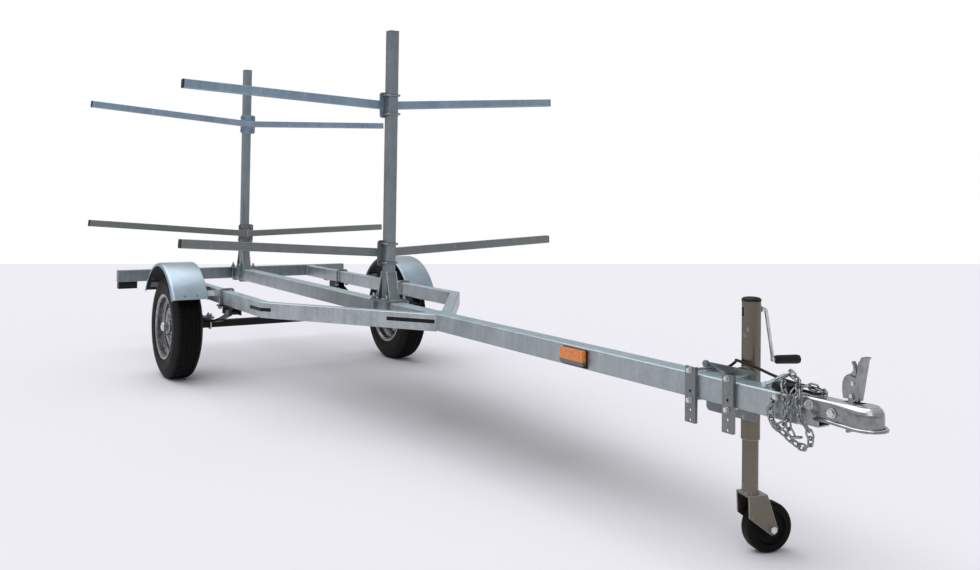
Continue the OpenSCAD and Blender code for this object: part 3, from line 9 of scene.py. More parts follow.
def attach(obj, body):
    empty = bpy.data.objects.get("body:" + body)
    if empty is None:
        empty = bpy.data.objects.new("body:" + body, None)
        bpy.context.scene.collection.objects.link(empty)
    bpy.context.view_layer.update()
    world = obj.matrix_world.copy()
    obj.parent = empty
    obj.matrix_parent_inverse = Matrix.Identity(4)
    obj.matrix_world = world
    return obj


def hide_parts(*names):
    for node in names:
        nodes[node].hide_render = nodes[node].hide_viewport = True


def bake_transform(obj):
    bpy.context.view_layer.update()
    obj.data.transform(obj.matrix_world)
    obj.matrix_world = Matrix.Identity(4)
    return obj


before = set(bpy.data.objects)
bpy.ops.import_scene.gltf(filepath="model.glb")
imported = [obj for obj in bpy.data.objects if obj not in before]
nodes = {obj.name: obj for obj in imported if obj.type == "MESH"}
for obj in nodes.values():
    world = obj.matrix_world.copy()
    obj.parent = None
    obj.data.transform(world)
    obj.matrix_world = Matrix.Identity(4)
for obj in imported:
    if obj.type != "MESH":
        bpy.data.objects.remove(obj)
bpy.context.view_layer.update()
scene = bpy.context.scene
scene.view_settings.view_transform = "Standard"

AXLE_X = -1.420  # the axle's place, in metres from the trailer's middle
WHEEL_RADIUS = 289  # the axle's height too, in millimetres
WHEEL_SIDE = 692  # from the trailer's middle to a wheel's middle, in millimetres
SIDES = (("right", -1), ("left", 1))


def at(x, y, z):
    """A place given in millimetres from the axle, as in the part's source."""
    return Vector((x / 1000 + AXLE_X, y / 1000, z / 1000))


def placed(name, data):
    """New object at the origin, linked to the scene."""
    item = bpy.data.objects.new(name, data)
    scene.collection.objects.link(item)
    return item


# Camera
IMAGE_WIDTH, IMAGE_HEIGHT = 980, 570
CAMERA_PLACE = at(5396.6, -2113.4, 1053.8)
CAMERA_YAW = math.radians(33.0878)
CAMERA_PITCH = math.radians(1.2143)
CAMERA_ROLL = math.radians(0.7937)
FOCAL_PIXELS = 938.744
OPTICAL_CENTRE = (490.65, 174.19)


def camera_axes():
    """Right, up and forward directions of the camera."""
    level = Vector((-math.cos(CAMERA_YAW), math.sin(CAMERA_YAW), 0))
    up = Vector((0, 0, 1))
    side = level.cross(up)
    forward = level * math.cos(CAMERA_PITCH) + up * math.sin(CAMERA_PITCH)
    top = up * math.cos(CAMERA_PITCH) - level * math.sin(CAMERA_PITCH)
    right = side * math.cos(CAMERA_ROLL) + top * math.sin(CAMERA_ROLL)
    up_tilted = top * math.cos(CAMERA_ROLL) - side * math.sin(CAMERA_ROLL)
    return right, up_tilted, forward


def floor_point(pixel_x, pixel_y):
    """Where the line of sight through a pixel meets the ground."""
    right, up, forward = camera_axes()
    ray = (
        forward
        + right * ((pixel_x - OPTICAL_CENTRE[0]) / FOCAL_PIXELS)
        - up * ((pixel_y - OPTICAL_CENTRE[1]) / FOCAL_PIXELS)
    )
    return CAMERA_PLACE + ray * (-CAMERA_PLACE.z / ray.z)


def add_camera():
    data = bpy.data.cameras.new("camera")
    camera = placed("camera", data)
    right, up, forward = camera_axes()
    turn = Matrix((right, up, -forward)).transposed()
    camera.matrix_world = Matrix.Translation(CAMERA_PLACE) @ turn.to_4x4()
    data.sensor_width = 36
    data.lens = FOCAL_PIXELS / IMAGE_WIDTH * data.sensor_width
    data.shift_x = (IMAGE_WIDTH / 2 - OPTICAL_CENTRE[0]) / IMAGE_WIDTH
    data.shift_y = (OPTICAL_CENTRE[1] - IMAGE_HEIGHT / 2) / IMAGE_WIDTH
    data.clip_end = 200
    scene.camera = camera


add_camera()


# Material builder
def add_node(tree, kind, settings, inputs):
    """Adds a node, first its settings and then its sockets' values or links."""
    node = tree.nodes.new(kind)
    for key, value in settings.items():
        setattr(node, key, value)
    for key, value in inputs.items():
        value = getattr(value, "socket", value)
        if isinstance(value, bpy.types.NodeSocket):
            tree.links.new(value, node.inputs[key])
        else:
            node.inputs[key].default_value = value
    return node


class Value:
    """A shader socket; Python's operators on it add Math nodes."""

    def __init__(self, recipe, socket):
        self.recipe = recipe
        self.socket = socket

    def math(self, operation, first, second):
        return self.recipe.add("ShaderNodeMath", {"operation": operation}, {0: first, 1: second})

    def __add__(self, other):
        return self.math("ADD", self, other)

    def __sub__(self, other):
        return self.math("SUBTRACT", self, other)

    def __mul__(self, other):
        return self.math("MULTIPLY", self, other)


class Recipe:
    """One material and its node tree."""

    def __init__(self, name):
        self.material = bpy.data.materials.new(name)
        self.material.use_nodes = True
        self.tree = self.material.node_tree
        self.tree.nodes.clear()
        self.place = self.add("ShaderNodeTexCoord", {}, {}, "Object")

    def add(self, kind, settings, inputs, output=0):
        return Value(self, add_node(self.tree, kind, settings, inputs).outputs[output])

    def noise(self, size, detail=3, roughness=0.55, stretch=(1, 1, 1), shift=(0, 0, 0)):
        """Cloudy noise whose blotches are about size metres across."""
        scale = [value / size for value in stretch]
        placing = {"Vector": self.place, "Scale": scale, "Location": shift}
        place = self.add("ShaderNodeMapping", {}, placing)
        inputs = {"Vector": place, "Scale": 1, "Detail": detail, "Roughness": roughness}
        return self.add("ShaderNodeTexNoise", {}, inputs)

    def cells(self, size, output="Color"):
        """Flat-shaded crystals about size metres across."""
        return self.add("ShaderNodeTexVoronoi", {}, {"Vector": self.place, "Scale": 1 / size}, output)

    def brightness(self, colour):
        return self.add("ShaderNodeRGBToBW", {}, {"Color": colour})

    def limits(self, value, low, high, to_low=0.0, to_high=1.0):
        return self.add(
            "ShaderNodeMapRange", {"clamp": True},
            {"Value": value, "From Min": low, "From Max": high, "To Min": to_low, "To Max": to_high},
        )

    def blend(self, factor, first, second):
        """Mix of two colours, each a colour or a link."""
        first, second = (c if isinstance(c, Value) else (*c, 1) for c in (first, second))
        return self.add("ShaderNodeMix", {"data_type": "RGBA"}, {0: factor, 6: first, 7: second}, 2)

    def part(self, vector, axis):
        return self.add("ShaderNodeSeparateXYZ", {}, {"Vector": vector}, axis)

    def normal(self):
        return self.add("ShaderNodeNewGeometry", {}, {}, "Normal")

    def upward(self):
        """1 on faces that look straight up, 0 on upright ones."""
        return self.limits(self.part(self.normal(), "Z"), 0.1, 0.9)

    def sideways(self):
        """1 on faces that look straight to the left or right, 0 on the tread."""
        return self.add("ShaderNodeMath", {"operation": "ABSOLUTE"}, {0: self.part(self.normal(), "Y")})

    def bump(self, height, distance, strength=1.0, under=None):
        inputs = {"Height": height, "Distance": distance, "Strength": strength}
        if under is not None:
            inputs["Normal"] = under
        return self.add("ShaderNodeBump", {}, inputs)

    def rounded(self, radius=0.0012):
        """Normal with the sharp edges rounded off."""
        return self.add("ShaderNodeBevel", {"samples": 4}, {"Radius": radius})

    def edges(self, radius=0.0025):
        """1 along sharp edges, 0 on flat faces."""
        both = {0: self.normal(), 1: self.rounded(radius)}
        match = self.add("ShaderNodeVectorMath", {"operation": "DOT_PRODUCT"}, both, "Value")
        return self.limits(match, 0.995, 0.80)

    def finish(self, **sockets):
        """Closes the tree with a Principled shader; socket names use _ for a space."""
        inputs = {}
        for name, value in sockets.items():
            if name == "Base_Color" and not isinstance(value, Value):
                value = (*value, 1)
            inputs[name.replace("_", " ")] = value
        shader = self.add("ShaderNodeBsdfPrincipled", {}, inputs)
        add_node(self.tree, "ShaderNodeOutputMaterial", {}, {"Surface": shader})
        return self.material


DULL_GLOSS = 0.25  # how strongly black plastic and paint mirror the studio
RUBBER_GLOSS = 0.12  # the same for rubber
ZINC_BLOOM = (0.80, 0.82, 0.84)  # pale patches on old zinc
ZINC_EDGE_HIGHLIGHT = (0.90, 0.94, 0.95)  # painted highlight along the sharp edges
BARE_STEEL = (0.30, 0.28, 0.26)  # where paint is chipped off
LENS_FOOT = (0.10, 0.095, 0.08)  # dark housing seen through the foot of a lens


def galvanised(
        name, dark, light, run=(1, 1, 1), contrast=1.0, metallic=0.85, roughness=0.42, top=None):
    """Hot-dip zinc: crystals, cloudy mottle, streaks along one way, a dull bloom; given top, also painted
    light: paler upper faces and a painted highlight along sharp edges.
    """
    r = Recipe(name)
    crystals = r.brightness(r.cells(0.012))
    fine = r.brightness(r.cells(0.0045))
    cloud = r.noise(0.09, 5, 0.6)
    broad = r.noise(0.45, 3, 0.5, shift=(3.1, 1.7, 0.4))
    streak = r.noise(0.016, 4, 0.62, stretch=run)
    wide_streak = r.noise(0.06, 3, 0.5, stretch=run, shift=(1.3, 5.2, 2.2))
    tone = (
        (crystals - 0.5) * (0.16 * contrast)
        + (fine - 0.5) * (0.10 * contrast)
        + (cloud - 0.5) * (0.85 * contrast)
        + (broad - 0.5) * (0.7 * contrast)
        + (streak - 0.5) * (0.75 * contrast)
        + (wide_streak - 0.5) * (0.6 * contrast)
        + 0.5
    )
    colour = r.blend(r.limits(tone, 0.0, 1.0), dark, light)
    bloom = r.limits(r.noise(0.03, 6, 0.7, shift=(7, 2, 5)), 0.62, 0.8)
    colour = r.blend(bloom * 0.5, colour, ZINC_BLOOM)
    # Painted light: faces that look up are blended towards the top colour, and sharp edges towards a painted
    # highlight.
    if top:
        colour = r.blend(r.upward() * 0.75, colour, top)
        colour = r.blend(r.edges() * 0.6, colour, ZINC_EDGE_HIGHLIGHT)
    shine = r.limits(cloud * 0.6 + streak * 0.4, 0.3, 0.7, roughness - 0.12, roughness + 0.14)
    relief = r.bump(streak * 0.5 + cloud * 0.5, 0.0014, 0.5, r.rounded())
    relief = r.bump(crystals, 0.0002, 0.35, relief)
    return r.finish(Base_Color=colour, Metallic=metallic, Roughness=shine, Normal=relief)


def plated(r, smear, colour, low, high):
    """Closes the recipe of a plated finish whose roughness runs from low to high with its smears."""
    grain = r.noise(0.0012, 2, 0.5)
    shine = r.limits(smear + grain * 0.3, 0.3, 1.0, low, high)
    relief = r.bump(grain, 0.00015, 0.4, r.rounded(0.0006))
    return r.finish(Base_Color=colour, Metallic=0.95, Roughness=shine, Normal=relief)


def bright_plate(name, dark, light, roughness=0.26, edge=None):
    """Bright zinc plate with slight smears and dust, and a painted highlight along its edges."""
    r = Recipe(name)
    smear = r.noise(0.02, 5, 0.6)
    colour = r.blend(r.limits(smear, 0.3, 0.72), dark, light)
    # Painted highlight: sharp edges blended towards the edge colour, else the light one.
    colour = r.blend(r.edges(0.0015) * 0.5, colour, edge or light)
    return plated(r, smear, colour, roughness - 0.08, roughness + 0.18)


def lit_pressed_plate(name, side_dark, side_light, top):
    """Bright plate on a pressing with painted light: painted shade on its upright sides and a painted
    highlight where it faces up.
    """
    r = Recipe(name)
    smear = r.noise(0.02, 5, 0.6)
    # Painted shade on the upright sides; painted highlight blended in on faces that look up.
    sides = r.blend(r.limits(smear, 0.3, 0.72), side_dark, side_light)
    return plated(r, smear, r.blend(r.upward(), sides, top), 0.16, 0.34)


def painted(name, dark, light, metallic=0.0, roughness=0.4, gloss=0.5):
    """Sprayed paint with orange peel and a little dust."""
    r = Recipe(name)
    dust = r.noise(0.05, 5, 0.6)
    peel = r.noise(0.0025, 2, 0.5)
    colour = r.blend(r.limits(dust, 0.35, 0.75), dark, light)
    chips = r.edges() * r.limits(r.noise(0.012, 4, 0.7), 0.52, 0.62)
    colour = r.blend(chips * 0.6, colour, BARE_STEEL)
    relief = r.bump(peel, 0.0002, 0.35, r.rounded())
    shine = r.limits(dust, 0.3, 0.7, roughness - 0.06, roughness + 0.1)
    return r.finish(
        Base_Color=colour, Metallic=metallic, Roughness=shine, Specular_IOR_Level=gloss, Normal=relief,
    )


def moulded(name, dark, light, roughness=0.5, grain_size=0.0011):
    """Black plastic with a fine moulded grain."""
    r = Recipe(name)
    grain = r.noise(grain_size, 3, 0.6)
    haze = r.noise(0.03, 4, 0.5)
    colour = r.blend(r.limits(haze, 0.3, 0.75), dark, light)
    relief = r.bump(grain, 0.00025, 0.5)
    shine = r.limits(grain, 0.3, 0.7, roughness - 0.07, roughness + 0.07)
    return r.finish(Base_Color=colour, Roughness=shine, Specular_IOR_Level=DULL_GLOSS, Normal=relief)


def rubber(name, dark, light, roughness=0.62):
    """Tyre rubber, lighter on its sidewalls than on the tread, with dusty patches on the sidewalls and fine
    moulding lines.
    """
    r = Recipe(name)
    dust = r.noise(0.05, 6, 0.65)
    grain = r.noise(0.0016, 3, 0.6)
    wall = r.limits(r.sideways(), 0.25, 0.75)
    colour = r.blend(r.limits(dust, 0.42, 0.8) * wall, dark, light)
    colour = r.blend(wall * 0.45, colour, light)
    relief = r.bump(grain, 0.0003, 0.6)
    shine = r.limits(dust, 0.3, 0.7, roughness - 0.12, roughness + 0.1)
    return r.finish(Base_Color=colour, Roughness=shine, Specular_IOR_Level=RUBBER_GLOSS, Normal=relief)


def lens(name, deep, pale, foot=None):
    """Clear coloured plastic over small prisms, dark below the height of its foot."""
    r = Recipe(name)
    prisms = r.cells(0.006, "Distance")
    colour = r.blend(r.limits(prisms, 0.1, 0.7), pale, deep)
    if foot:
        colour = r.blend(r.limits(r.part(r.place, "Z"), foot, foot - 0.001), colour, LENS_FOOT)
    relief = r.bump(prisms, 0.0006, 0.5)
    return r.finish(Base_Color=colour, Roughness=0.12, Coat_Weight=0.6, Normal=relief)


def film(name, dark, light, roughness):
    """Thin printed film with a faint crinkle."""
    r = Recipe(name)
    crinkle = r.noise(0.012, 3, 0.5)
    shade = r.blend(r.limits(crinkle, 0.3, 0.8), dark, light)
    relief = r.bump(crinkle, 0.0003, 0.4)
    return r.finish(Base_Color=shade, Roughness=roughness, Specular_IOR_Level=DULL_GLOSS, Normal=relief)


DOWNWARD = (1, 1, 0.10)  # streaks that ran down a vertical face
EVEN = (1, 1, 1)  # no streaks
# Colours painted onto faces that look up, as light from above.
LIT_TOP_ZINC = (0.56, 0.70, 0.77)  # painted light: blue-white on the upper faces
SHEET_LIT_TOP = (0.53, 0.63, 0.71)
TUBE_LIT_TOP = (0.50, 0.51, 0.50)
AMBER_FOOT = 0.474  # height of the marker lenses' feet, in metres

FINISHES = {}


def add_finish(maker, name, *looks, **more):
    FINISHES[name] = maker(name, *looks, **more)


# Beam and rail zinc carry painted light: paler tops and a painted highlight along edges.
add_finish(galvanised, "beam_zinc", (0.24, 0.28, 0.295), (0.53, 0.58, 0.59), DOWNWARD, 0.9, top=LIT_TOP_ZINC)
add_finish(galvanised, "rail_zinc", (0.28, 0.315, 0.325), (0.63, 0.68, 0.70), DOWNWARD, 1.0, top=LIT_TOP_ZINC)
add_finish(galvanised, "mast_zinc", (0.15, 0.19, 0.215), (0.36, 0.41, 0.44), DOWNWARD, 0.8, 0.8, 0.45)
add_finish(galvanised, "arm_zinc", (0.15, 0.168, 0.17), (0.30, 0.325, 0.325), DOWNWARD, 0.7, 0.8, 0.45)
add_finish(galvanised, "blue_zinc", (0.19, 0.27, 0.35), (0.40, 0.53, 0.66), DOWNWARD, 0.7, 0.8, 0.45)
# The mudguard zinc carries painted light on its upper faces and edges.
add_finish(
    galvanised, "sheet_zinc", (0.25, 0.34, 0.45), (0.47, 0.58, 0.69), EVEN, 1.1, 0.85, 0.36, SHEET_LIT_TOP,
)
# Painted shade: near-black zinc for the mudguards' undersides, in place of the shade under them.
add_finish(galvanised, "shaded_zinc", (0.012, 0.012, 0.012), (0.035, 0.036, 0.036), EVEN, 0.6, 0.2, 0.6)
add_finish(galvanised, "strap_zinc", (0.14, 0.15, 0.15), (0.31, 0.33, 0.325), DOWNWARD, 0.8)
add_finish(bright_plate, "bright_zinc", (0.50, 0.52, 0.54), (0.82, 0.84, 0.86))
# Painted light on the coupling: painted shade on its upright sides, painted highlight on top.
add_finish(lit_pressed_plate, "coupling_zinc", (0.20, 0.205, 0.205), (0.33, 0.34, 0.34), (0.80, 0.83, 0.85))
add_finish(bright_plate, "dull_plate", (0.20, 0.215, 0.22), (0.38, 0.40, 0.41), 0.3)
add_finish(bright_plate, "ground_steel", (0.42, 0.42, 0.43), (0.62, 0.62, 0.63), 0.3)
# The jockey tubes' zinc carries painted light on its upper faces and edges.
add_finish(
    galvanised, "tube_steel", (0.11, 0.10, 0.08), (0.23, 0.205, 0.16), DOWNWARD, 0.6, 0.9, 0.34, TUBE_LIT_TOP,
)
add_finish(painted, "black_steel", (0.003, 0.003, 0.003), (0.009, 0.009, 0.010), gloss=DULL_GLOSS)
# The rims carry a near-white painted highlight along their sharp edges.
add_finish(bright_plate, "silver_paint", (0.17, 0.175, 0.18), (0.38, 0.39, 0.40), 0.2, (0.92, 0.93, 0.95))
add_finish(painted, "cast_hub", (0.10, 0.10, 0.105), (0.2, 0.2, 0.21), 0.6, 0.55)
add_finish(moulded, "black_plastic", (0.005, 0.005, 0.005), (0.016, 0.016, 0.017))
add_finish(moulded, "cable_sheath", (0.004, 0.004, 0.004), (0.012, 0.012, 0.012), 0.42, 0.003)
add_finish(rubber, "tyre_rubber", (0.002, 0.002, 0.0022), (0.020, 0.020, 0.020))
add_finish(rubber, "wheel_rubber", (0.002, 0.002, 0.002), (0.007, 0.007, 0.007), 0.55)
add_finish(lens, "red_lens", (0.32, 0.008, 0.01), (0.75, 0.05, 0.04))
add_finish(lens, "amber_lens", (0.62, 0.13, 0.002), (1.0, 0.33, 0.01), AMBER_FOOT)
add_finish(film, "black_film", (0.003, 0.003, 0.003), (0.008, 0.008, 0.009), 0.45)
add_finish(galvanised, "weld_metal", (0.30, 0.33, 0.35), (0.66, 0.70, 0.73), EVEN, 0.8, 0.9, 0.36)

NODE_FINISHES = {
    "beam_zinc": "spine_beam",
    "rail_zinc": "side_rail_right side_rail_left mudguard_stays",
    "mast_zinc": "front_mast rear_mast rear_crossbar",
    "arm_zinc": "front_lower_arm rear_lower_arm",
    "blue_zinc": "front_upper_arm rear_upper_arm",
    "sheet_zinc": "mudguard_right mudguard_left",
    "strap_zinc": "jockey_mount_plate jockey_clamp_straps spring_plates",
    "bright_zinc": """coupling_bolts chain_shackle jockey_clamp_bolts axle_bolts wheel_nuts_right
        wheel_nuts_left hub_cap_right hub_cap_left jockey_crank jockey_wheel_bolt""",
    "dull_plate": """mast_u_bolts arm_u_bolts hanger_bolts latch_handle latch_trigger ball_jaw
        lock_plunger safety_chain""",
    "coupling_zinc": "coupling_body",
    "ground_steel": "wheel_bearings_right wheel_bearings_left jockey_screw",
    "tube_steel": "jockey_outer_tube jockey_inner_tube jockey_fork",
    "black_steel": "axle_beam leaf_springs spring_hangers",
    "silver_paint": "rim_right rim_left",
    "cast_hub": "hub_right hub_left",
    "black_plastic": "mast_caps arm_end_caps lamp_housings wiring_plug jockey_cap crank_grip",
    "cable_sheath": "wiring_lead",
    "tyre_rubber": "tyre_right tyre_left",
    "wheel_rubber": "jockey_wheel",
    "red_lens": "tail_lamp_lenses",
    "amber_lens": "marker_lenses",
}

for finish_name, members in NODE_FINISHES.items():
    for member in members.split():
        node_mesh = nodes[member].data
        node_mesh.materials.clear()
        node_mesh.materials.append(FINISHES[finish_name])


# Shared mesh helpers
def new_piece(name, mesh, finish, body, smooth=False):
    """Object at the origin that rides on a body, with one finish."""
    piece = placed(name, mesh)
    if not mesh.materials:
        mesh.materials.append(FINISHES[finish])
    if smooth:
        mesh.polygons.foreach_set("use_smooth", [True] * len(mesh.polygons))
    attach(piece, body)
    return piece


def mesh_from(name, points, faces, edges=()):
    mesh = bpy.data.meshes.new(name)
    mesh.from_pydata([tuple(p) for p in points], edges, faces)
    mesh.update()
    return mesh


def outward(mesh):
    """Recalculates a closed mesh's normals so that they point out."""
    work = bmesh.new()
    work.from_mesh(mesh)
    bmesh.ops.remove_doubles(work, verts=work.verts, dist=1e-6)
    bmesh.ops.recalc_face_normals(work, faces=work.faces)
    work.to_mesh(mesh)
    work.free()
    mesh.update()
    return mesh


def grid_faces(rows, count, closed=False):
    """Quads between neighbouring rings of count points; closed joins the last ring to the first."""
    faces = []
    for i in range(rows if closed else rows - 1):
        here = i * count
        there = (i + 1) % rows * count
        faces += [
            (here + k, here + (k + 1) % count, there + (k + 1) % count, there + k) for k in range(count)
        ]
    return faces


def catmull(points, steps):
    """Smooth line through points, with steps stretches between each pair."""
    line = []
    last = len(points) - 1
    for i in range(last):
        a, b = points[max(i - 1, 0)], points[i]
        c, d = points[i + 1], points[min(i + 2, last)]
        for k in range(steps):
            u = k / steps
            line.append(0.5 * (
                2 * b + (c - a) * u + (2 * a - 5 * b + 4 * c - d) * u * u
                + (3 * b - a - 3 * c + d) * u ** 3
            ))
    line.append(points[-1])
    return line


def tube_piece(name, line, radius, finish, body, sides=12):
    """Round tube along a line of points, its ends closed."""
    points = []
    tangent = (line[1] - line[0]).normalized()
    normal = tangent.cross(Vector((0.3, 0.2, 1))).normalized()
    for i, place in enumerate(line):
        ahead = line[min(i + 1, len(line) - 1)]
        behind = line[max(i - 1, 0)]
        tangent = (ahead - behind).normalized()
        normal = (normal - tangent * normal.dot(tangent)).normalized()
        side = tangent.cross(normal)
        for k in range(sides):
            angle = 2 * math.pi * k / sides
            points.append(place + radius * (math.cos(angle) * normal + math.sin(angle) * side))
    faces = grid_faces(len(line), sides)
    faces.append(tuple(range(sides - 1, -1, -1)))
    faces.append(tuple((len(line) - 1) * sides + k for k in range(sides)))
    return new_piece(name, outward(mesh_from(name, points, faces)), finish, body, True)


# Wiring lead: the same route as its solid
LEAD_RADIUS = 0.0042  # in metres
LEAD_ROUTE = [
    (3290, 34, 500), (3292, 50, 506), (3316, 57, 520), (3352, 60, 530), (3396, 62, 540),
    (3424, 64, 560), (3442, 46, 568), (3480, 38, 566), (3530, 36, 560), (3590, 36, 548),
    (3660, 36, 540), (3730, 34, 538), (3772, 24, 536), (3782, 4, 535), (3764, -10, 534),
    (3740, -6, 534), (3710, -6, 534),
]


def add_lead():
    line = catmull([at(*p) for p in LEAD_ROUTE], 10)
    length = sum((b - a).length for a, b in zip(line, line[1:]))
    lead = tube_piece("lead", line, LEAD_RADIUS, "cable_sheath", "frame", 14)
    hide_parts("wiring_lead")


add_lead()


# Tyres
# Each point of a profile is a radius and a distance from the tyre's middle
TYRE_SIDE = [
    (167.3, 47), (167.3, 61.7), (172.3, 66.1), (180, 68), (181, 69.5), (188, 71), (196, 73.5), (198, 75),
    (201, 75), (203, 74.5), (212, 77), (224, 77.8), (235, 77.8), (240, 77.6), (241, 78), (244, 78),
    (245, 76.8), (252, 74.8), (262, 70.5), (268, 67.5), (274, 64.5), (279, 61), (283, 57), (285.5, 53),
    (287, 48), (287.6, 44), (288, 40.4), (286, 39.6), (283.5, 39), (283, 38.4), (283, 33.6),
    (283.5, 33), (288, 32.4), (288.5, 31.6), (288.8, 24), (289, 14.6), (288, 13.6), (283.5, 13),
    (283, 12.4), (283, 7.6), (283.5, 7), (288, 6.4), (289, 5.6), (289, 2),
]
TYRE_INSIDE = [(176, -50), (192, -60), (228, -66), (258, -58), (270, -44), (273, 0)]
TREAD_BLOCKS = 64
STEPS_PER_BLOCK = 10
SHOULDER_SLOT = 3.0  # depth of the slots between the shoulder blocks
SLOT_START = 262  # radius where a slot begins, and how far it takes to reach its depth
SLOT_FADE = 14
SHOULDER_EDGE = 41  # the shoulder blocks lie further out than this
RIB_SIPE = 2.0  # depth of the cuts in the ribs
RIB_RADIUS = 285
RIB_EDGES = (15, 31.8)  # the cut ribs lie between these


def tread_cut(radius, across, step, side):
    """How far a point of the tread sinks at one step round the tyre."""
    if abs(across) > SHOULDER_EDGE and radius > SLOT_START:
        half_block = STEPS_PER_BLOCK // 2 if side < 0 else 0
        slot = (step + half_block) % STEPS_PER_BLOCK in (0, 1)
        return SHOULDER_SLOT * min(1, (radius - SLOT_START) / SLOT_FADE) if slot else 0
    if radius > RIB_RADIUS and RIB_EDGES[0] < abs(across) < RIB_EDGES[1]:
        return RIB_SIPE if (step + 3) % STEPS_PER_BLOCK == 0 else 0
    return 0


def add_tyre(side_name, side):
    ring = [(r, y) for r, y in TYRE_SIDE] + [(r, -y) for r, y in reversed(TYRE_SIDE)]
    ring += TYRE_INSIDE + [(r, -y) for r, y in reversed(TYRE_INSIDE[:-1])]
    steps = TREAD_BLOCKS * STEPS_PER_BLOCK
    centre = at(0, side * WHEEL_SIDE, WHEEL_RADIUS)
    points = []
    for step in range(steps):
        angle = 2 * math.pi * step / steps
        for radius, across in ring:
            reach = (radius - tread_cut(radius, across, step, side * across)) / 1000
            points.append(centre + Vector((reach * math.cos(angle), across / 1000, reach * math.sin(angle))))
    mesh = outward(mesh_from("tread_" + side_name, points, grid_faces(steps, len(ring), closed=True)))
    tyre = new_piece("tread_" + side_name, mesh, "tyre_rubber", "wheel_" + side_name)
    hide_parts("tyre_" + side_name)


for side_name, side in SIDES:
    add_tyre(side_name, side)


# Geometry trees for what repeats along a path
class Growth:
    """Geometry tree with named number inputs and a finish, which grown() fills in."""

    def __init__(self, name, sizes):
        self.tree = bpy.data.node_groups.new(name, "GeometryNodeTree")
        add_socket = self.tree.interface.new_socket
        add_socket("Geometry", in_out="INPUT", socket_type="NodeSocketGeometry")
        for label, value in sizes.items():
            add_socket(label, in_out="INPUT", socket_type="NodeSocketFloat").default_value = value
        add_socket("Finish", in_out="INPUT", socket_type="NodeSocketMaterial")
        add_socket("Geometry", in_out="OUTPUT", socket_type="NodeSocketGeometry")
        self.inputs = self.tree.nodes.new("NodeGroupInput").outputs

    def add(self, kind, settings, inputs):
        return add_node(self.tree, kind, settings, inputs).outputs

    def points_along(self, spacing):
        """Evenly spaced points along the edges of the input mesh."""
        curve = self.add("GeometryNodeMeshToCurve", {}, {0: self.inputs["Geometry"]})
        return self.add("GeometryNodeCurveToPoints", {"mode": "LENGTH"}, {0: curve[0], "Length": spacing})

    def close(self, points, instance, **placing):
        """Sets an instance on each point and ends the tree."""
        placing = {"Points": points, "Instance": instance, **placing}
        place = self.add("GeometryNodeInstanceOnPoints", {}, placing)
        whole = self.add("GeometryNodeRealizeInstances", {}, {0: place[0]})
        finish = self.inputs["Finish"]
        coloured = self.add("GeometryNodeSetMaterial", {}, {"Geometry": whole[0], "Material": finish})
        self.add("NodeGroupOutput", {}, {0: coloured[0]})
        return self.tree


def beads_tree():
    """Scalloped weld bead along the edges of the input mesh."""
    growth = Growth("weld_beads", {"Spacing": 0.003, "Size": 0.003, "Unevenness": 0.18})
    points = growth.points_along(growth.inputs["Spacing"])
    scallop = growth.add(
        "GeometryNodeMeshIcoSphere", {}, {"Subdivisions": 2, "Radius": growth.inputs["Size"]})
    uneven = growth.inputs["Unevenness"]
    low = growth.add("ShaderNodeMath", {"operation": "SUBTRACT"}, {0: 1, 1: uneven})
    high = growth.add("ShaderNodeMath", {"operation": "ADD"}, {0: 1, 1: uneven})
    vary = growth.add("FunctionNodeRandomValue", {"data_type": "FLOAT"}, {"Seed": 11, 2: low[0], 3: high[0]})
    return growth.close(points[0], scallop[0], Scale=vary[1])


def rings_tree():
    """Thread crests along the edges of the input mesh."""
    growth = Growth("thread_rings", {"Pitch": 0.0015, "Radius": 0.006, "Crest": 0.0007})
    points = growth.points_along(growth.inputs["Pitch"])
    crest = growth.add(
        "GeometryNodeMeshCylinder", {},
        {"Vertices": 20, "Radius": growth.inputs["Radius"], "Depth": growth.inputs["Crest"]})
    return growth.close(points[0], crest[0], Rotation=points["Rotation"])


def rivets_tree():
    """Domed rivet head on each face of the input mesh, standing along the face's normal."""
    growth = Growth("rivet_heads", {"Radius": 0.005, "Flatness": 0.5})
    keep = growth.tree.nodes.new("GeometryNodeCaptureAttribute")
    keep.domain = "FACE"
    keep.capture_items.new("VECTOR", "Way")
    normal = growth.add("GeometryNodeInputNormal", {}, {})
    growth.tree.links.new(growth.inputs["Geometry"], keep.inputs["Geometry"])
    growth.tree.links.new(normal[0], keep.inputs["Way"])
    points = growth.add("GeometryNodeMeshToPoints", {"mode": "FACES"}, {"Mesh": keep.outputs["Geometry"]})
    head = growth.add(
        "GeometryNodeMeshUVSphere", {}, {"Segments": 20, "Rings": 10, "Radius": growth.inputs["Radius"]})
    scale = growth.add("ShaderNodeCombineXYZ", {}, {0: 1, 1: 1, 2: growth.inputs["Flatness"]})
    flat = growth.add("GeometryNodeTransform", {}, {"Geometry": head[0], "Scale": scale[0]})
    turn = growth.add("FunctionNodeAlignRotationToVector", {"axis": "Z"}, {"Vector": keep.outputs["Way"]})
    return growth.close(points[0], flat[0], Rotation=turn[0])


def grown(name, source, tree, finish, body, slot, **sizes):
    """Runs a tree on a mesh and keeps the result as a plain piece."""
    holder = placed(name + "_path", source)
    modifier = holder.modifiers.new("grow", "NODES")
    modifier.node_group = tree
    for item in tree.interface.items_tree:
        if item.in_out != "INPUT":
            continue
        if item.name in sizes:
            modifier[item.identifier] = sizes[item.name]
        elif item.name == "Finish":
            modifier[item.identifier] = FINISHES[finish]
    bpy.context.view_layer.update()
    grown_holder = holder.evaluated_get(bpy.context.evaluated_depsgraph_get())
    result = bpy.data.meshes.new_from_object(grown_holder)
    result.name = name
    bpy.data.objects.remove(holder)
    bpy.data.meshes.remove(source)
    return new_piece(name, result, finish, body, True)


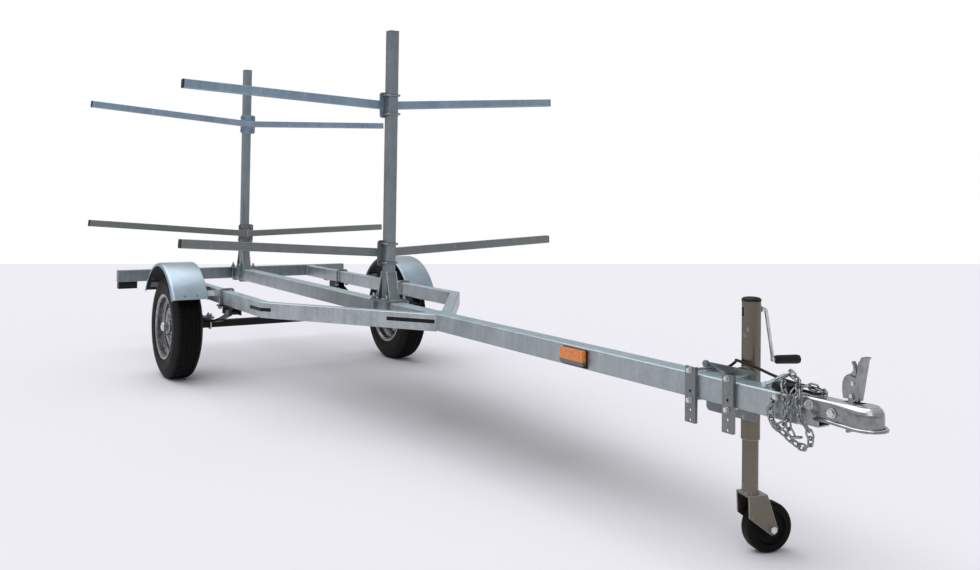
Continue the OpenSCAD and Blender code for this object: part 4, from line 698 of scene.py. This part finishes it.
def paths(name, lines):
    """Mesh of edges only, one chain of edges for each line of points."""
    points = []
    edges = []
    for line in lines:
        first = len(points)
        points += line
        edges += [(first + i, first + i + 1) for i in range(len(line) - 1)]
    return mesh_from(name, points, [], edges)


WELD_BEADS = beads_tree()
THREAD_RINGS = rings_tree()
RIVET_HEADS = rivets_tree()

# Sizes shared by the details, in millimetres, as in the part's source
SPINE_HALF = 37.5
SPINE_TOP = 522
RAIL_TOP = 518
RAIL_SIDE = 535  # from the trailer's middle to a rail's middle
RAIL_BEND = (1001, 560)  # where the rail's outer face bends
RAIL_MEET = (1787, SPINE_HALF)  # and where it meets the spine
BASE_TOP = 530
MASTS = {"front": 1247, "rear": -937}
MAST_HALF = 25
CROSSBAR_FRONT = -1049
ARMS = {  # mast, height, tilt in degrees and side of the mast
    "front_upper": ("front", 1487, 1.2, -1),
    "front_lower": ("front", 756, -0.25, -1),
    "rear_upper": ("rear", 1509, -0.97, 1),
    "rear_lower": ("rear", 762, -1.14, 1),
}
ARM_GAP = 0.3  # between the mast and the arm's bracket
ARM_HALF = 20
ARM_RISE = 57 / 1003
BRACKET_HALF = 49

# Places of the welds
BEAD_OUT = 0.5  # from a face to the middle of the bead along it
FOOT_WELD = 26  # from the mast's middle to the bead round its foot
BRACE_REACH = (27, 64)  # and to the top and the foot of the beads down its braces
BRACE_HEIGHTS = (665, 535)
BRACE_END = 69
BRACE_HALF = 24
BAR_WELD = (450, 519)  # heights of the welds between spine and crossbar
BAR_WELD_HALF = 35  # half the length of the one on top
RAIL_WELD = (446, 515)  # heights of those at the rails' ends
RAIL_WELD_SIDE = 26  # from the rail's middle to the weld beside it
RAIL_WELD_TOP = 23  # half the length of the weld across the rail
MEET_WELD = (97, 3)  # the top weld runs between these distances behind the meeting point
BRACKET_WELD = 6.6  # from the mast's face to the weld on the bracket
ARM_WELD = (26, 46)  # the same for the mitre's weld on top of the arm
ARM_WELD_OUT = 0.4


def upright(x, y, heights):
    return [at(x, y, heights[0]), at(x, y, heights[1])]


def mast_weld_lines(x):
    """Round one mast's foot and along its braces."""
    out = FOOT_WELD
    level = BASE_TOP + BEAD_OUT
    corners = [at(x + a * out, b * out, level) for a, b in ((1, 1), (-1, 1), (-1, -1), (1, -1))]
    lines = [corners + corners[:1]]
    for s in (-1, 1):
        for y in (-MAST_HALF, MAST_HALF):
            lines.append([at(x + s * reach, y, height) for reach, height in zip(BRACE_REACH, BRACE_HEIGHTS)])
        for reach, height in ((BRACE_END, level), (out, BRACE_HEIGHTS[0])):
            lines.append([at(x + s * reach, y, height) for y in (-BRACE_HALF, BRACE_HALF)])
    return lines


def frame_weld_lines():
    lines = []
    for x in MASTS.values():
        lines += mast_weld_lines(x)
    beside_spine = SPINE_HALF + BEAD_OUT
    for s in (-1, 1):
        lines.append(upright(CROSSBAR_FRONT, s * beside_spine, BAR_WELD))
        for edge in (-RAIL_WELD_SIDE, RAIL_WELD_SIDE):
            lines.append(upright(CROSSBAR_FRONT, s * (RAIL_SIDE + edge), RAIL_WELD))
        lines.append([
            at(CROSSBAR_FRONT, s * (RAIL_SIDE + edge), RAIL_TOP) for edge in (-RAIL_WELD_TOP, RAIL_WELD_TOP)
        ])
        lines.append(upright(RAIL_MEET[0], s * beside_spine, RAIL_WELD))
        lines.append([at(RAIL_MEET[0] - behind, s * beside_spine, RAIL_TOP) for behind in MEET_WELD])
    lines.append([at(CROSSBAR_FRONT, y, SPINE_TOP) for y in (-BAR_WELD_HALF, BAR_WELD_HALF)])
    return lines


def arm_frame(name):
    """Places a point given ahead of the mast, along the arm's bracket and up from the arm's middle."""
    mast, middle_z, tilt, side = ARMS[name]
    angle = math.radians(tilt)

    def place(ahead, y, z):
        across = y * math.cos(angle) - z * math.sin(angle)
        up = y * math.sin(angle) + z * math.cos(angle)
        return at(MASTS[mast] + side * (MAST_HALF + ARM_GAP + ahead), across, middle_z + up)

    return place


def arm_weld_lines():
    """Where each arm's halves meet the bracket and each other."""
    lines = []
    for name in ARMS:
        place = arm_frame(name)
        for s in (-1, 1):
            for level in (ARM_HALF, -ARM_HALF):
                far = level + BRACKET_HALF * ARM_RISE
                lines.append([place(BRACKET_WELD, 0, level), place(BRACKET_WELD, s * BRACKET_HALF, far)])
        lines.append([place(ahead, 0, ARM_HALF + ARM_WELD_OUT) for ahead in ARM_WELD])
        lines.append([place(ARM_WELD[1] + ARM_WELD_OUT, 0, z) for z in (ARM_HALF, -ARM_HALF)])
    return lines


grown("frame_welds", paths("frame_welds", frame_weld_lines()), WELD_BEADS, "weld_metal", "frame",
      "galvanised", Spacing=0.0034, Size=0.0036)
grown("arm_welds", paths("arm_welds", arm_weld_lines()), WELD_BEADS, "weld_metal", "frame",
      "galvanised", Spacing=0.003, Size=0.0028)


# Threads on the ends of the bolts
BASE_SHIFT = {"front": 4, "rear": -13}  # how far a base plate lies off its mast's middle
BASE_BOLT = (70, 46.8)  # its bolts from the plate's middle
BASE_THREAD = (543.5, 557.6)
HANGERS = (396, -500)
HANGER_BOLT = 35.3
HANGER_THREAD = (420.6, 423.5)
ARM_BOLT = (32.8, 46)
ARM_THREAD = (16.6, 21.6)  # ahead of the mast


def thread_lines():
    thick = []
    small = []
    for name, x in MASTS.items():
        for s in (-1, 1):
            for y in (-BASE_BOLT[1], BASE_BOLT[1]):
                thick.append(upright(x + BASE_SHIFT[name] + s * BASE_BOLT[0], y, BASE_THREAD))
    for x in HANGERS:
        for side in (-1, 1):
            for y in (-HANGER_BOLT, HANGER_BOLT):
                thick.append(upright(x, side * RAIL_SIDE + y, HANGER_THREAD))
    for name in ARMS:
        place = arm_frame(name)
        for y in (-ARM_BOLT[0], ARM_BOLT[0]):
            for z in (-ARM_BOLT[1], ARM_BOLT[1]):
                small.append([place(ahead, y, z) for ahead in ARM_THREAD])
    return thick, small


thick_threads, small_threads = thread_lines()
grown("frame_threads_large", paths("threads_large", thick_threads), THREAD_RINGS, "bright_zinc", "frame",
      "bright_zinc", Pitch=0.00175, Radius=0.0064, Crest=0.0008)
grown("frame_threads_small", paths("threads_small", small_threads), THREAD_RINGS, "bright_zinc", "frame",
      "bright_zinc", Pitch=0.0015, Radius=0.0054, Crest=0.0007)


# Mudguards: bent sheet with a rounded outer shoulder and a folded inner edge
GUARD_RADIUS = 356
GUARD_THICK = 2
GUARD_SIDES = (606, 799)  # from the trailer's middle to the inner and the outer edge
GUARD_SHOULDER = 18
GUARD_FOLD = 5
GUARD_LIP = 14  # depth of the inner edge
GUARD_STEPS = 60  # stretches along the sheet, round the shoulder and round the fold
GUARD_REACH = 60  # degrees from the top to either end
GUARD_ANGLES = [GUARD_REACH * (2 * i / GUARD_STEPS - 1) for i in range(GUARD_STEPS + 1)]
SHARP_ANGLE = 40  # from this many degrees on, an edge of the sheet is shown sharp
SHOULDER_STEPS = 12
FOLD_STEPS = 6
GUARD_BEAD = 2.3  # radius of the rolled edges
BEAD_INSET = 2.4
BEAD_RAISE = 1.5
RIVET_ANGLE = 56.3
RIVETS_ACROSS = (664, 731)
RIVET_SINK = 0.4  # how far the heads' middles lie inside the sheet
SEAT_HALF = 0.2  # half the width of the small faces that place the rivets
UNDERSIDE_SHADE_LEAN = 0.15  # how far inwards, in metres, the faces given the painted shade look
UNDERSIDE_SHADE_MATCH = 0.3  # and how well a face has to look that way


def guard_point(angle, radius, y):
    turned = math.radians(angle)
    return at(radius * math.sin(turned), y, WHEEL_RADIUS + radius * math.cos(turned))


def guard_skin(inset):
    """Line across the sheet from inner lip to outer edge: distances from the middle and the axle."""
    inner = GUARD_SIDES[0] + inset
    outer = GUARD_SIDES[1] - inset
    top = GUARD_RADIUS - inset
    fold = GUARD_FOLD - inset
    bend = GUARD_SHOULDER - inset
    line = [(inner, GUARD_RADIUS - GUARD_LIP)]
    for k in range(FOLD_STEPS + 1):
        angle = math.radians(90 * k / FOLD_STEPS)
        line.append((inner + fold - fold * math.cos(angle), top - fold + fold * math.sin(angle)))
    for k in range(SHOULDER_STEPS + 1):
        angle = math.radians(90 * k / SHOULDER_STEPS)
        line.append((outer - bend + bend * math.sin(angle), top - bend + bend * math.cos(angle)))
    return line


def takes_underside_shade(face):
    """True on the sheet's underside, apart from its outer edge: where the painted shade goes."""
    towards = at(0, 0, WHEEL_RADIUS) - face.center
    reach = Vector((towards.x, towards.z)).length
    if reach >= (GUARD_RADIUS - GUARD_THICK / 2) / 1000:
        return False
    if abs(face.center.y) * 1000 >= GUARD_SIDES[1] - GUARD_THICK / 2:
        return False
    towards.y = UNDERSIDE_SHADE_LEAN if face.center.y < 0 else -UNDERSIDE_SHADE_LEAN
    return face.normal.dot(towards.normalized()) > UNDERSIDE_SHADE_MATCH


def add_guard_sheet(side_name, side):
    ring = guard_skin(0) + list(reversed(guard_skin(GUARD_THICK)))
    count = len(ring)
    points = []
    for angle in GUARD_ANGLES:
        points += [guard_point(angle, radius, side * across) for across, radius in ring]
    faces = grid_faces(GUARD_STEPS + 1, count)
    for first in (0, GUARD_STEPS * count):
        last = first + count - 1
        faces += [(first + k, first + k + 1, last - k - 1, last - k) for k in range(count // 2 - 1)]
    mesh = outward(mesh_from("guard_sheet_" + side_name, points, faces))
    # The second finish is painted shade on the underside faces.
    mesh.materials.append(FINISHES["sheet_zinc"])
    mesh.materials.append(FINISHES["shaded_zinc"])
    for face in mesh.polygons:
        face.material_index = 1 if takes_underside_shade(face) else 0
    sheet = new_piece("guard_sheet_" + side_name, mesh, "sheet_zinc", "frame", True)
    mesh.set_sharp_from_angle(angle=math.radians(SHARP_ANGLE))
    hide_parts("mudguard_" + side_name)


def seats_mesh(name, seats):
    """Small faces of four corners each, whose middles and normals place the rivets."""
    points = [corner for seat in seats for corner in seat]
    return mesh_from(name, points, [tuple(range(4 * i, 4 * i + 4)) for i in range(len(seats))])


def guard_rivet_seats(name, side):
    seats = []
    across = Vector((0, SEAT_HALF / 1000, 0))
    for angle in (-RIVET_ANGLE, RIVET_ANGLE):
        turned = math.radians(angle)
        along = Vector((math.cos(turned), 0, -math.sin(turned))) * (SEAT_HALF / 1000)
        for y in RIVETS_ACROSS:
            middle = guard_point(angle, GUARD_RADIUS - RIVET_SINK, side * y)
            seats.append([middle + a * along + b * across for a, b in ((-1, -1), (1, -1), (1, 1), (-1, 1))])
    return seats_mesh(name, seats)


def add_guard_details(side_name, side):
    edges = (
        ("inner", GUARD_SIDES[0] + BEAD_INSET, GUARD_LIP),
        ("outer", GUARD_SIDES[1] - BEAD_INSET, GUARD_SHOULDER),
    )
    for place, y, depth in edges:
        line = [guard_point(angle, GUARD_RADIUS - depth + BEAD_RAISE, side * y) for angle in GUARD_ANGLES]
        name = f"guard_bead_{place}_{side_name}"
        tube_piece(name, line, GUARD_BEAD / 1000, "sheet_zinc", "frame", 10)
    name = "guard_rivets_" + side_name
    grown(name, guard_rivet_seats(name, side), RIVET_HEADS, "dull_plate", "frame", "galvanised",
          Radius=0.0065, Flatness=0.6)


for side_name, side in SIDES:
    add_guard_sheet(side_name, side)
    add_guard_details(side_name, side)


# Rivet heads over the ends of the latch's two pins
LATCH_PINS = ((3880, 549, 17.0), (3883, 581, 14.0))  # place in side view and reach to each side


def latch_rivet_seats():
    seats = []
    for x, z, reach in LATCH_PINS:
        for side in (-1, 1):
            seats.append([
                at(x + a * SEAT_HALF, side * reach, z + b * side * SEAT_HALF)
                for a, b in ((-1, 1), (-1, -1), (1, -1), (1, 1))
            ])
    return seats_mesh("latch_rivets", seats)


grown("latch_rivets", latch_rivet_seats(), RIVET_HEADS, "bright_zinc", "latch", "bright_zinc",
      Radius=0.0056, Flatness=0.4)


# Rolled rim along the coupling's flange
BALL_X = 3917
RIM_REACH = 48.3  # from the ball's middle to the rim's
RIM_RADIUS = 4.4
RIM_HEIGHT = 474.6
NECK_ENDS = (3784, 3830)
NECK_HALF = 34
DOME_BACK = 8  # where the neck's taper ends, behind the ball's middle
TAPER_END = 47.7  # and beside it


def flange_rim_line():
    """From the near side's back corner round the front of the ball's dome to the far side's."""
    near = [(x, -NECK_HALF) for x in NECK_ENDS] + [(BALL_X - DOME_BACK, -TAPER_END)]
    front = [
        (BALL_X + RIM_REACH * math.sin(math.radians(a)), -RIM_REACH * math.cos(math.radians(a)))
        for a in range(0, 181, 10)
    ]
    far = [(x, -y) for x, y in reversed(near)]
    return [at(x, y, RIM_HEIGHT) for x, y in near + front + far]


tube_piece("flange_rim", flange_rim_line(), RIM_RADIUS / 1000, "coupling_zinc", "frame", 14)


# Loose strands of the safety chain, heaped on the tongue and down its near side
CHAIN_WIRE = 5.5
CHAIN_PITCH = 22
CHAIN_SLACK = 1.4  # play between the wires of two links
CHAIN_WIDTH = 22.5
STRAND_STEPS = 24  # stretches between two points of a strand
BEND_STEPS = 8  # the same round each of a link's bends
LINK_SIDES = 10  # faces round its wire
CHAIN_STRANDS = [
    [(3668, -62, 446), (3684, -60, 432), (3703, -58, 445), (3710, -56, 473), (3705, -54, 499),
     (3701, -54, 525), (3688, -40, 544), (3670, -22, 549), (3650, -16, 541)],
    [(3724, -34, 540), (3723, -56, 520), (3723, -58, 495), (3718, -58, 465), (3722, -58, 435),
     (3735, -58, 418), (3752, -56, 416), (3762, -56, 432)],
    [(3722, -10, 545), (3735, -6, 548), (3748, 2, 548), (3765, 4, 546), (3789, -2, 541), (3806, -14, 536)],
]


def link_ring():
    """Middle line of one link's wire about the origin, long along X and lying in the XY plane."""
    bend = (CHAIN_WIDTH - CHAIN_WIRE) / 2
    straight = (CHAIN_PITCH + CHAIN_SLACK + CHAIN_WIRE) / 2 - bend
    ring = []
    for end in (1, -1):
        for k in range(BEND_STEPS + 1):
            angle = math.radians(180 * k / BEND_STEPS - 90)
            ring.append(Vector((end * (straight + bend * math.cos(angle)), end * bend * math.sin(angle), 0)))
    return ring


def add_link(points, faces, middle, way, across):
    """Adds one closed link to the lists, long along way and wide along across."""
    ring = link_ring()
    count = len(ring)
    first = len(points)
    faces += [tuple(first + k for k in face) for face in grid_faces(count, LINK_SIDES, closed=True)]
    flat = way.cross(across)
    up = Vector((0, 0, 1))
    for i, place in enumerate(ring):
        tangent = (ring[(i + 1) % count] - ring[i - 1]).normalized()
        outer = tangent.cross(up)
        for k in range(LINK_SIDES):
            angle = 2 * math.pi * k / LINK_SIDES
            p = place + CHAIN_WIRE / 2 * (math.cos(angle) * outer + math.sin(angle) * up)
            points.append(middle + (p.x * way + p.y * across + p.z * flat) / 1000)


def link_places(line):
    """Points of a line that lie one link's pitch apart."""
    places = [line[0]]
    for point in line:
        if (point - places[-1]).length >= CHAIN_PITCH / 1000:
            places.append(point)
    return places


def add_chain_strands():
    points = []
    faces = []
    for route in CHAIN_STRANDS:
        places = link_places(catmull([at(*p) for p in route], STRAND_STEPS))
        side = Vector((0, 1, 0))
        for i, (start, end) in enumerate(zip(places, places[1:])):
            way = (end - start).normalized()
            side = (side - way * side.dot(way)).normalized()
            across = way.cross(side) if i % 2 else side
            add_link(points, faces, (start + end) / 2, way, across)
    mesh = outward(mesh_from("chain_strands", points, faces))
    new_piece("chain_strands", mesh, "dull_plate", "frame", True)


add_chain_strands()


# Plain stripes on the near rail
STRIPE_HALF = 8.5
FILM_OUT = 0.35  # outer and inner side of the film, from the rail's face
FILM_BACK = 0.1


def rail_face_point(along, up, out):
    """Place on the outer face of the right rail, along counted from its bend towards the spine."""
    if along < 0:
        return at(RAIL_BEND[0] + along, -RAIL_BEND[1] - out, up)
    way = Vector((RAIL_MEET[0] - RAIL_BEND[0], RAIL_BEND[1] - RAIL_MEET[1])).normalized()
    x = RAIL_BEND[0] + along * way.x + out * way.y
    y = -RAIL_BEND[1] + along * way.y - out * way.x
    return at(x, y, up)


def stripe(name, start, stop, low, high):
    """Plain stripe of film on the rail's outer face, bent round the rail's corner where it crosses it."""
    stops = sorted({start, stop} | ({0} if start < 0 < stop else set()))
    points = []
    faces = []
    for along in stops:
        share = (along - start) / (stop - start)
        middle = low + (high - low) * share
        for up in (middle - STRIPE_HALF, middle + STRIPE_HALF):
            points += [rail_face_point(along, up, out) for out in (FILM_OUT, FILM_BACK)]
    for i in range(len(stops) - 1):
        a, b = 4 * i, 4 * (i + 1)
        faces += [
            (a, b, b + 2, a + 2), (a + 1, a + 3, b + 3, b + 1),
            (a, a + 1, b + 1, b), (a + 2, b + 2, b + 3, a + 3),
        ]
    last = 4 * (len(stops) - 1)
    faces += [(0, 2, 3, 1), (last, last + 1, last + 3, last + 2)]
    new_piece(name, outward(mesh_from(name, points, faces)), "black_film", "frame")


stripe("rail_stripe_back", -155, 60, 481, 484)
stripe("rail_stripe_front", 693, 936, 486, 487)


# Leaf springs: halves cut across into slices between the axle and the hangers
SPRING_SLICES = 24
SPRING_REACH = 0.6  # in metres from the axle, as are the clamped and the hung end


def add_spring_half(name, way, side):
    """Copy of one half of a spring, cut across into slices."""
    work = bmesh.new()
    work.from_mesh(nodes["leaf_springs"].data)
    bmesh.ops.remove_doubles(work, verts=work.verts, dist=1e-6)
    middle = at(0, 0, 0)
    for plane in (way, Vector((0, side, 0))):
        bmesh.ops.bisect_plane(
            work, geom=work.verts[:] + work.edges[:] + work.faces[:], plane_co=middle, plane_no=plane,
            clear_inner=True,
        )
    for i in range(1, SPRING_SLICES):
        bmesh.ops.bisect_plane(
            work, geom=work.verts[:] + work.edges[:] + work.faces[:],
            plane_co=middle + way * (SPRING_REACH * i / SPRING_SLICES), plane_no=way,
        )
    mesh = bpy.data.meshes.new("spring_" + name)
    work.to_mesh(mesh)
    work.free()
    mesh.materials.clear()
    mesh.materials.append(FINISHES["black_steel"])
    half = placed("spring_" + name, mesh)
    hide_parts("leaf_springs")
    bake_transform(half)


for end_name, way in (("front", Vector((1, 0, 0))), ("rear", Vector((-1, 0, 0)))):
    for side_name, side in SIDES:
        add_spring_half(f"{end_name}_{side_name}", way, side)


# Valve stems
VALVE_PLACE = (100, 105)  # ahead of and above the wheel's middle
VALVE_STOPS = (30, 45, 60)  # outwards from it
VALVE_RADIUS = 0.004  # in metres


def add_valve(side_name, side):
    ahead, above = VALVE_PLACE
    line = [at(ahead, side * (WHEEL_SIDE + out), WHEEL_RADIUS + above) for out in VALVE_STOPS]
    name = "valve_" + side_name
    tube_piece(name, line, VALVE_RADIUS, "black_plastic", "wheel_" + side_name)


for side_name, side in SIDES:
    add_valve(side_name, side)


# Studio
FLOOR_EDGE = 264  # image row where the pale floor ends
FLOOR_MARGIN = 300  # how far it goes on past the picture's sides, in pixels
FLOOR_SIDE = 12  # and from there, in metres
FLOOR_DEPTH = 22
FLOOR_COLOUR = (0.901, 0.893, 0.952)
SHADE_COLOUR = (0.08, 0.08, 0.085)
SHADE_MIDDLE = 0.20  # the soft shade under the trailer lies this far to its left
SHADE_TAPER = (0.2, 3.0)  # from here to here, in metres ahead of the axle,
SHADE_WIDTHS = (0.62, 0.34)  # it narrows from one width to the other
SHADE_BACK = (-1.2, 0.9)  # where it fades in at the back
SHADE_FRONT = (3.9, 2.4)  # and at the front
SHADE_DEPTH = 0.53
WORLD_LEVEL = 0.42


def floor_shade(r):
    """Soft shade on the floor, wide under the axle and narrow towards the coupling."""
    along = r.part(r.place, "X") - AXLE_X
    across = r.part(r.place, "Y") - SHADE_MIDDLE
    width = r.limits(along, *SHADE_TAPER, *SHADE_WIDTHS)
    share = r.add("ShaderNodeMath", {"operation": "DIVIDE"}, {0: across, 1: width})
    bell = r.add("ShaderNodeMath", {"operation": "EXPONENT"}, {0: share * share * -1.0})
    ends = r.limits(along, *SHADE_BACK) * r.limits(along, *SHADE_FRONT)
    return bell * ends * SHADE_DEPTH


def add_floor():
    far_left = floor_point(-FLOOR_MARGIN, FLOOR_EDGE)
    far_right = floor_point(IMAGE_WIDTH + FLOOR_MARGIN, FLOOR_EDGE)
    forward = camera_axes()[2].copy()
    forward.z = 0
    back = forward.normalized() * FLOOR_DEPTH
    wide = (far_right - far_left).normalized() * FLOOR_SIDE
    corners = [far_left - wide, far_right + wide, far_right + wide - back, far_left - wide - back]
    mesh = mesh_from("floor", [(c.x, c.y, 0) for c in corners], [(0, 1, 2, 3)])
    if mesh.polygons[0].normal.z < 0:
        mesh.flip_normals()
    floor = placed("floor", mesh)
    r = Recipe("floor_paper")
    shade = r.blend(floor_shade(r), FLOOR_COLOUR, SHADE_COLOUR)
    mesh.materials.append(r.finish(Base_Color=shade, Roughness=0.9, Specular_IOR_Level=0.0))


def add_world():
    """White to the camera, and dimmer as a light."""
    world = bpy.data.worlds.new("studio")
    scene.world = world
    world.use_nodes = True
    tree = world.node_tree
    tree.nodes.clear()
    path = add_node(tree, "ShaderNodeLightPath", {}, {})
    light, plain = (
        add_node(tree, "ShaderNodeBackground", {}, {"Color": (1, 1, 1, 1), "Strength": strength}).outputs[0]
        for strength in (WORLD_LEVEL, 1)
    )
    choice = {0: path.outputs["Is Camera Ray"], 1: light, 2: plain}
    mix = add_node(tree, "ShaderNodeMixShader", {}, choice)
    add_node(tree, "ShaderNodeOutputWorld", {}, {"Surface": mix.outputs[0]})


def add_sun(name, towards, angle, strength):
    """Even light from far away, soft by its wide angle in degrees; towards points at the lamp."""
    data = bpy.data.lights.new(name, "SUN")
    data.angle = math.radians(angle)
    data.energy = strength
    lamp = placed(name, data)
    lamp.rotation_euler = Vector(towards).to_track_quat("Z", "Y").to_euler()


add_floor()
add_world()
add_sun("overhead", (-0.35, -0.25, 1), 70, 1.5)
add_sun("front_fill", (0.8, -0.5, 0.9), 30, 0.45)
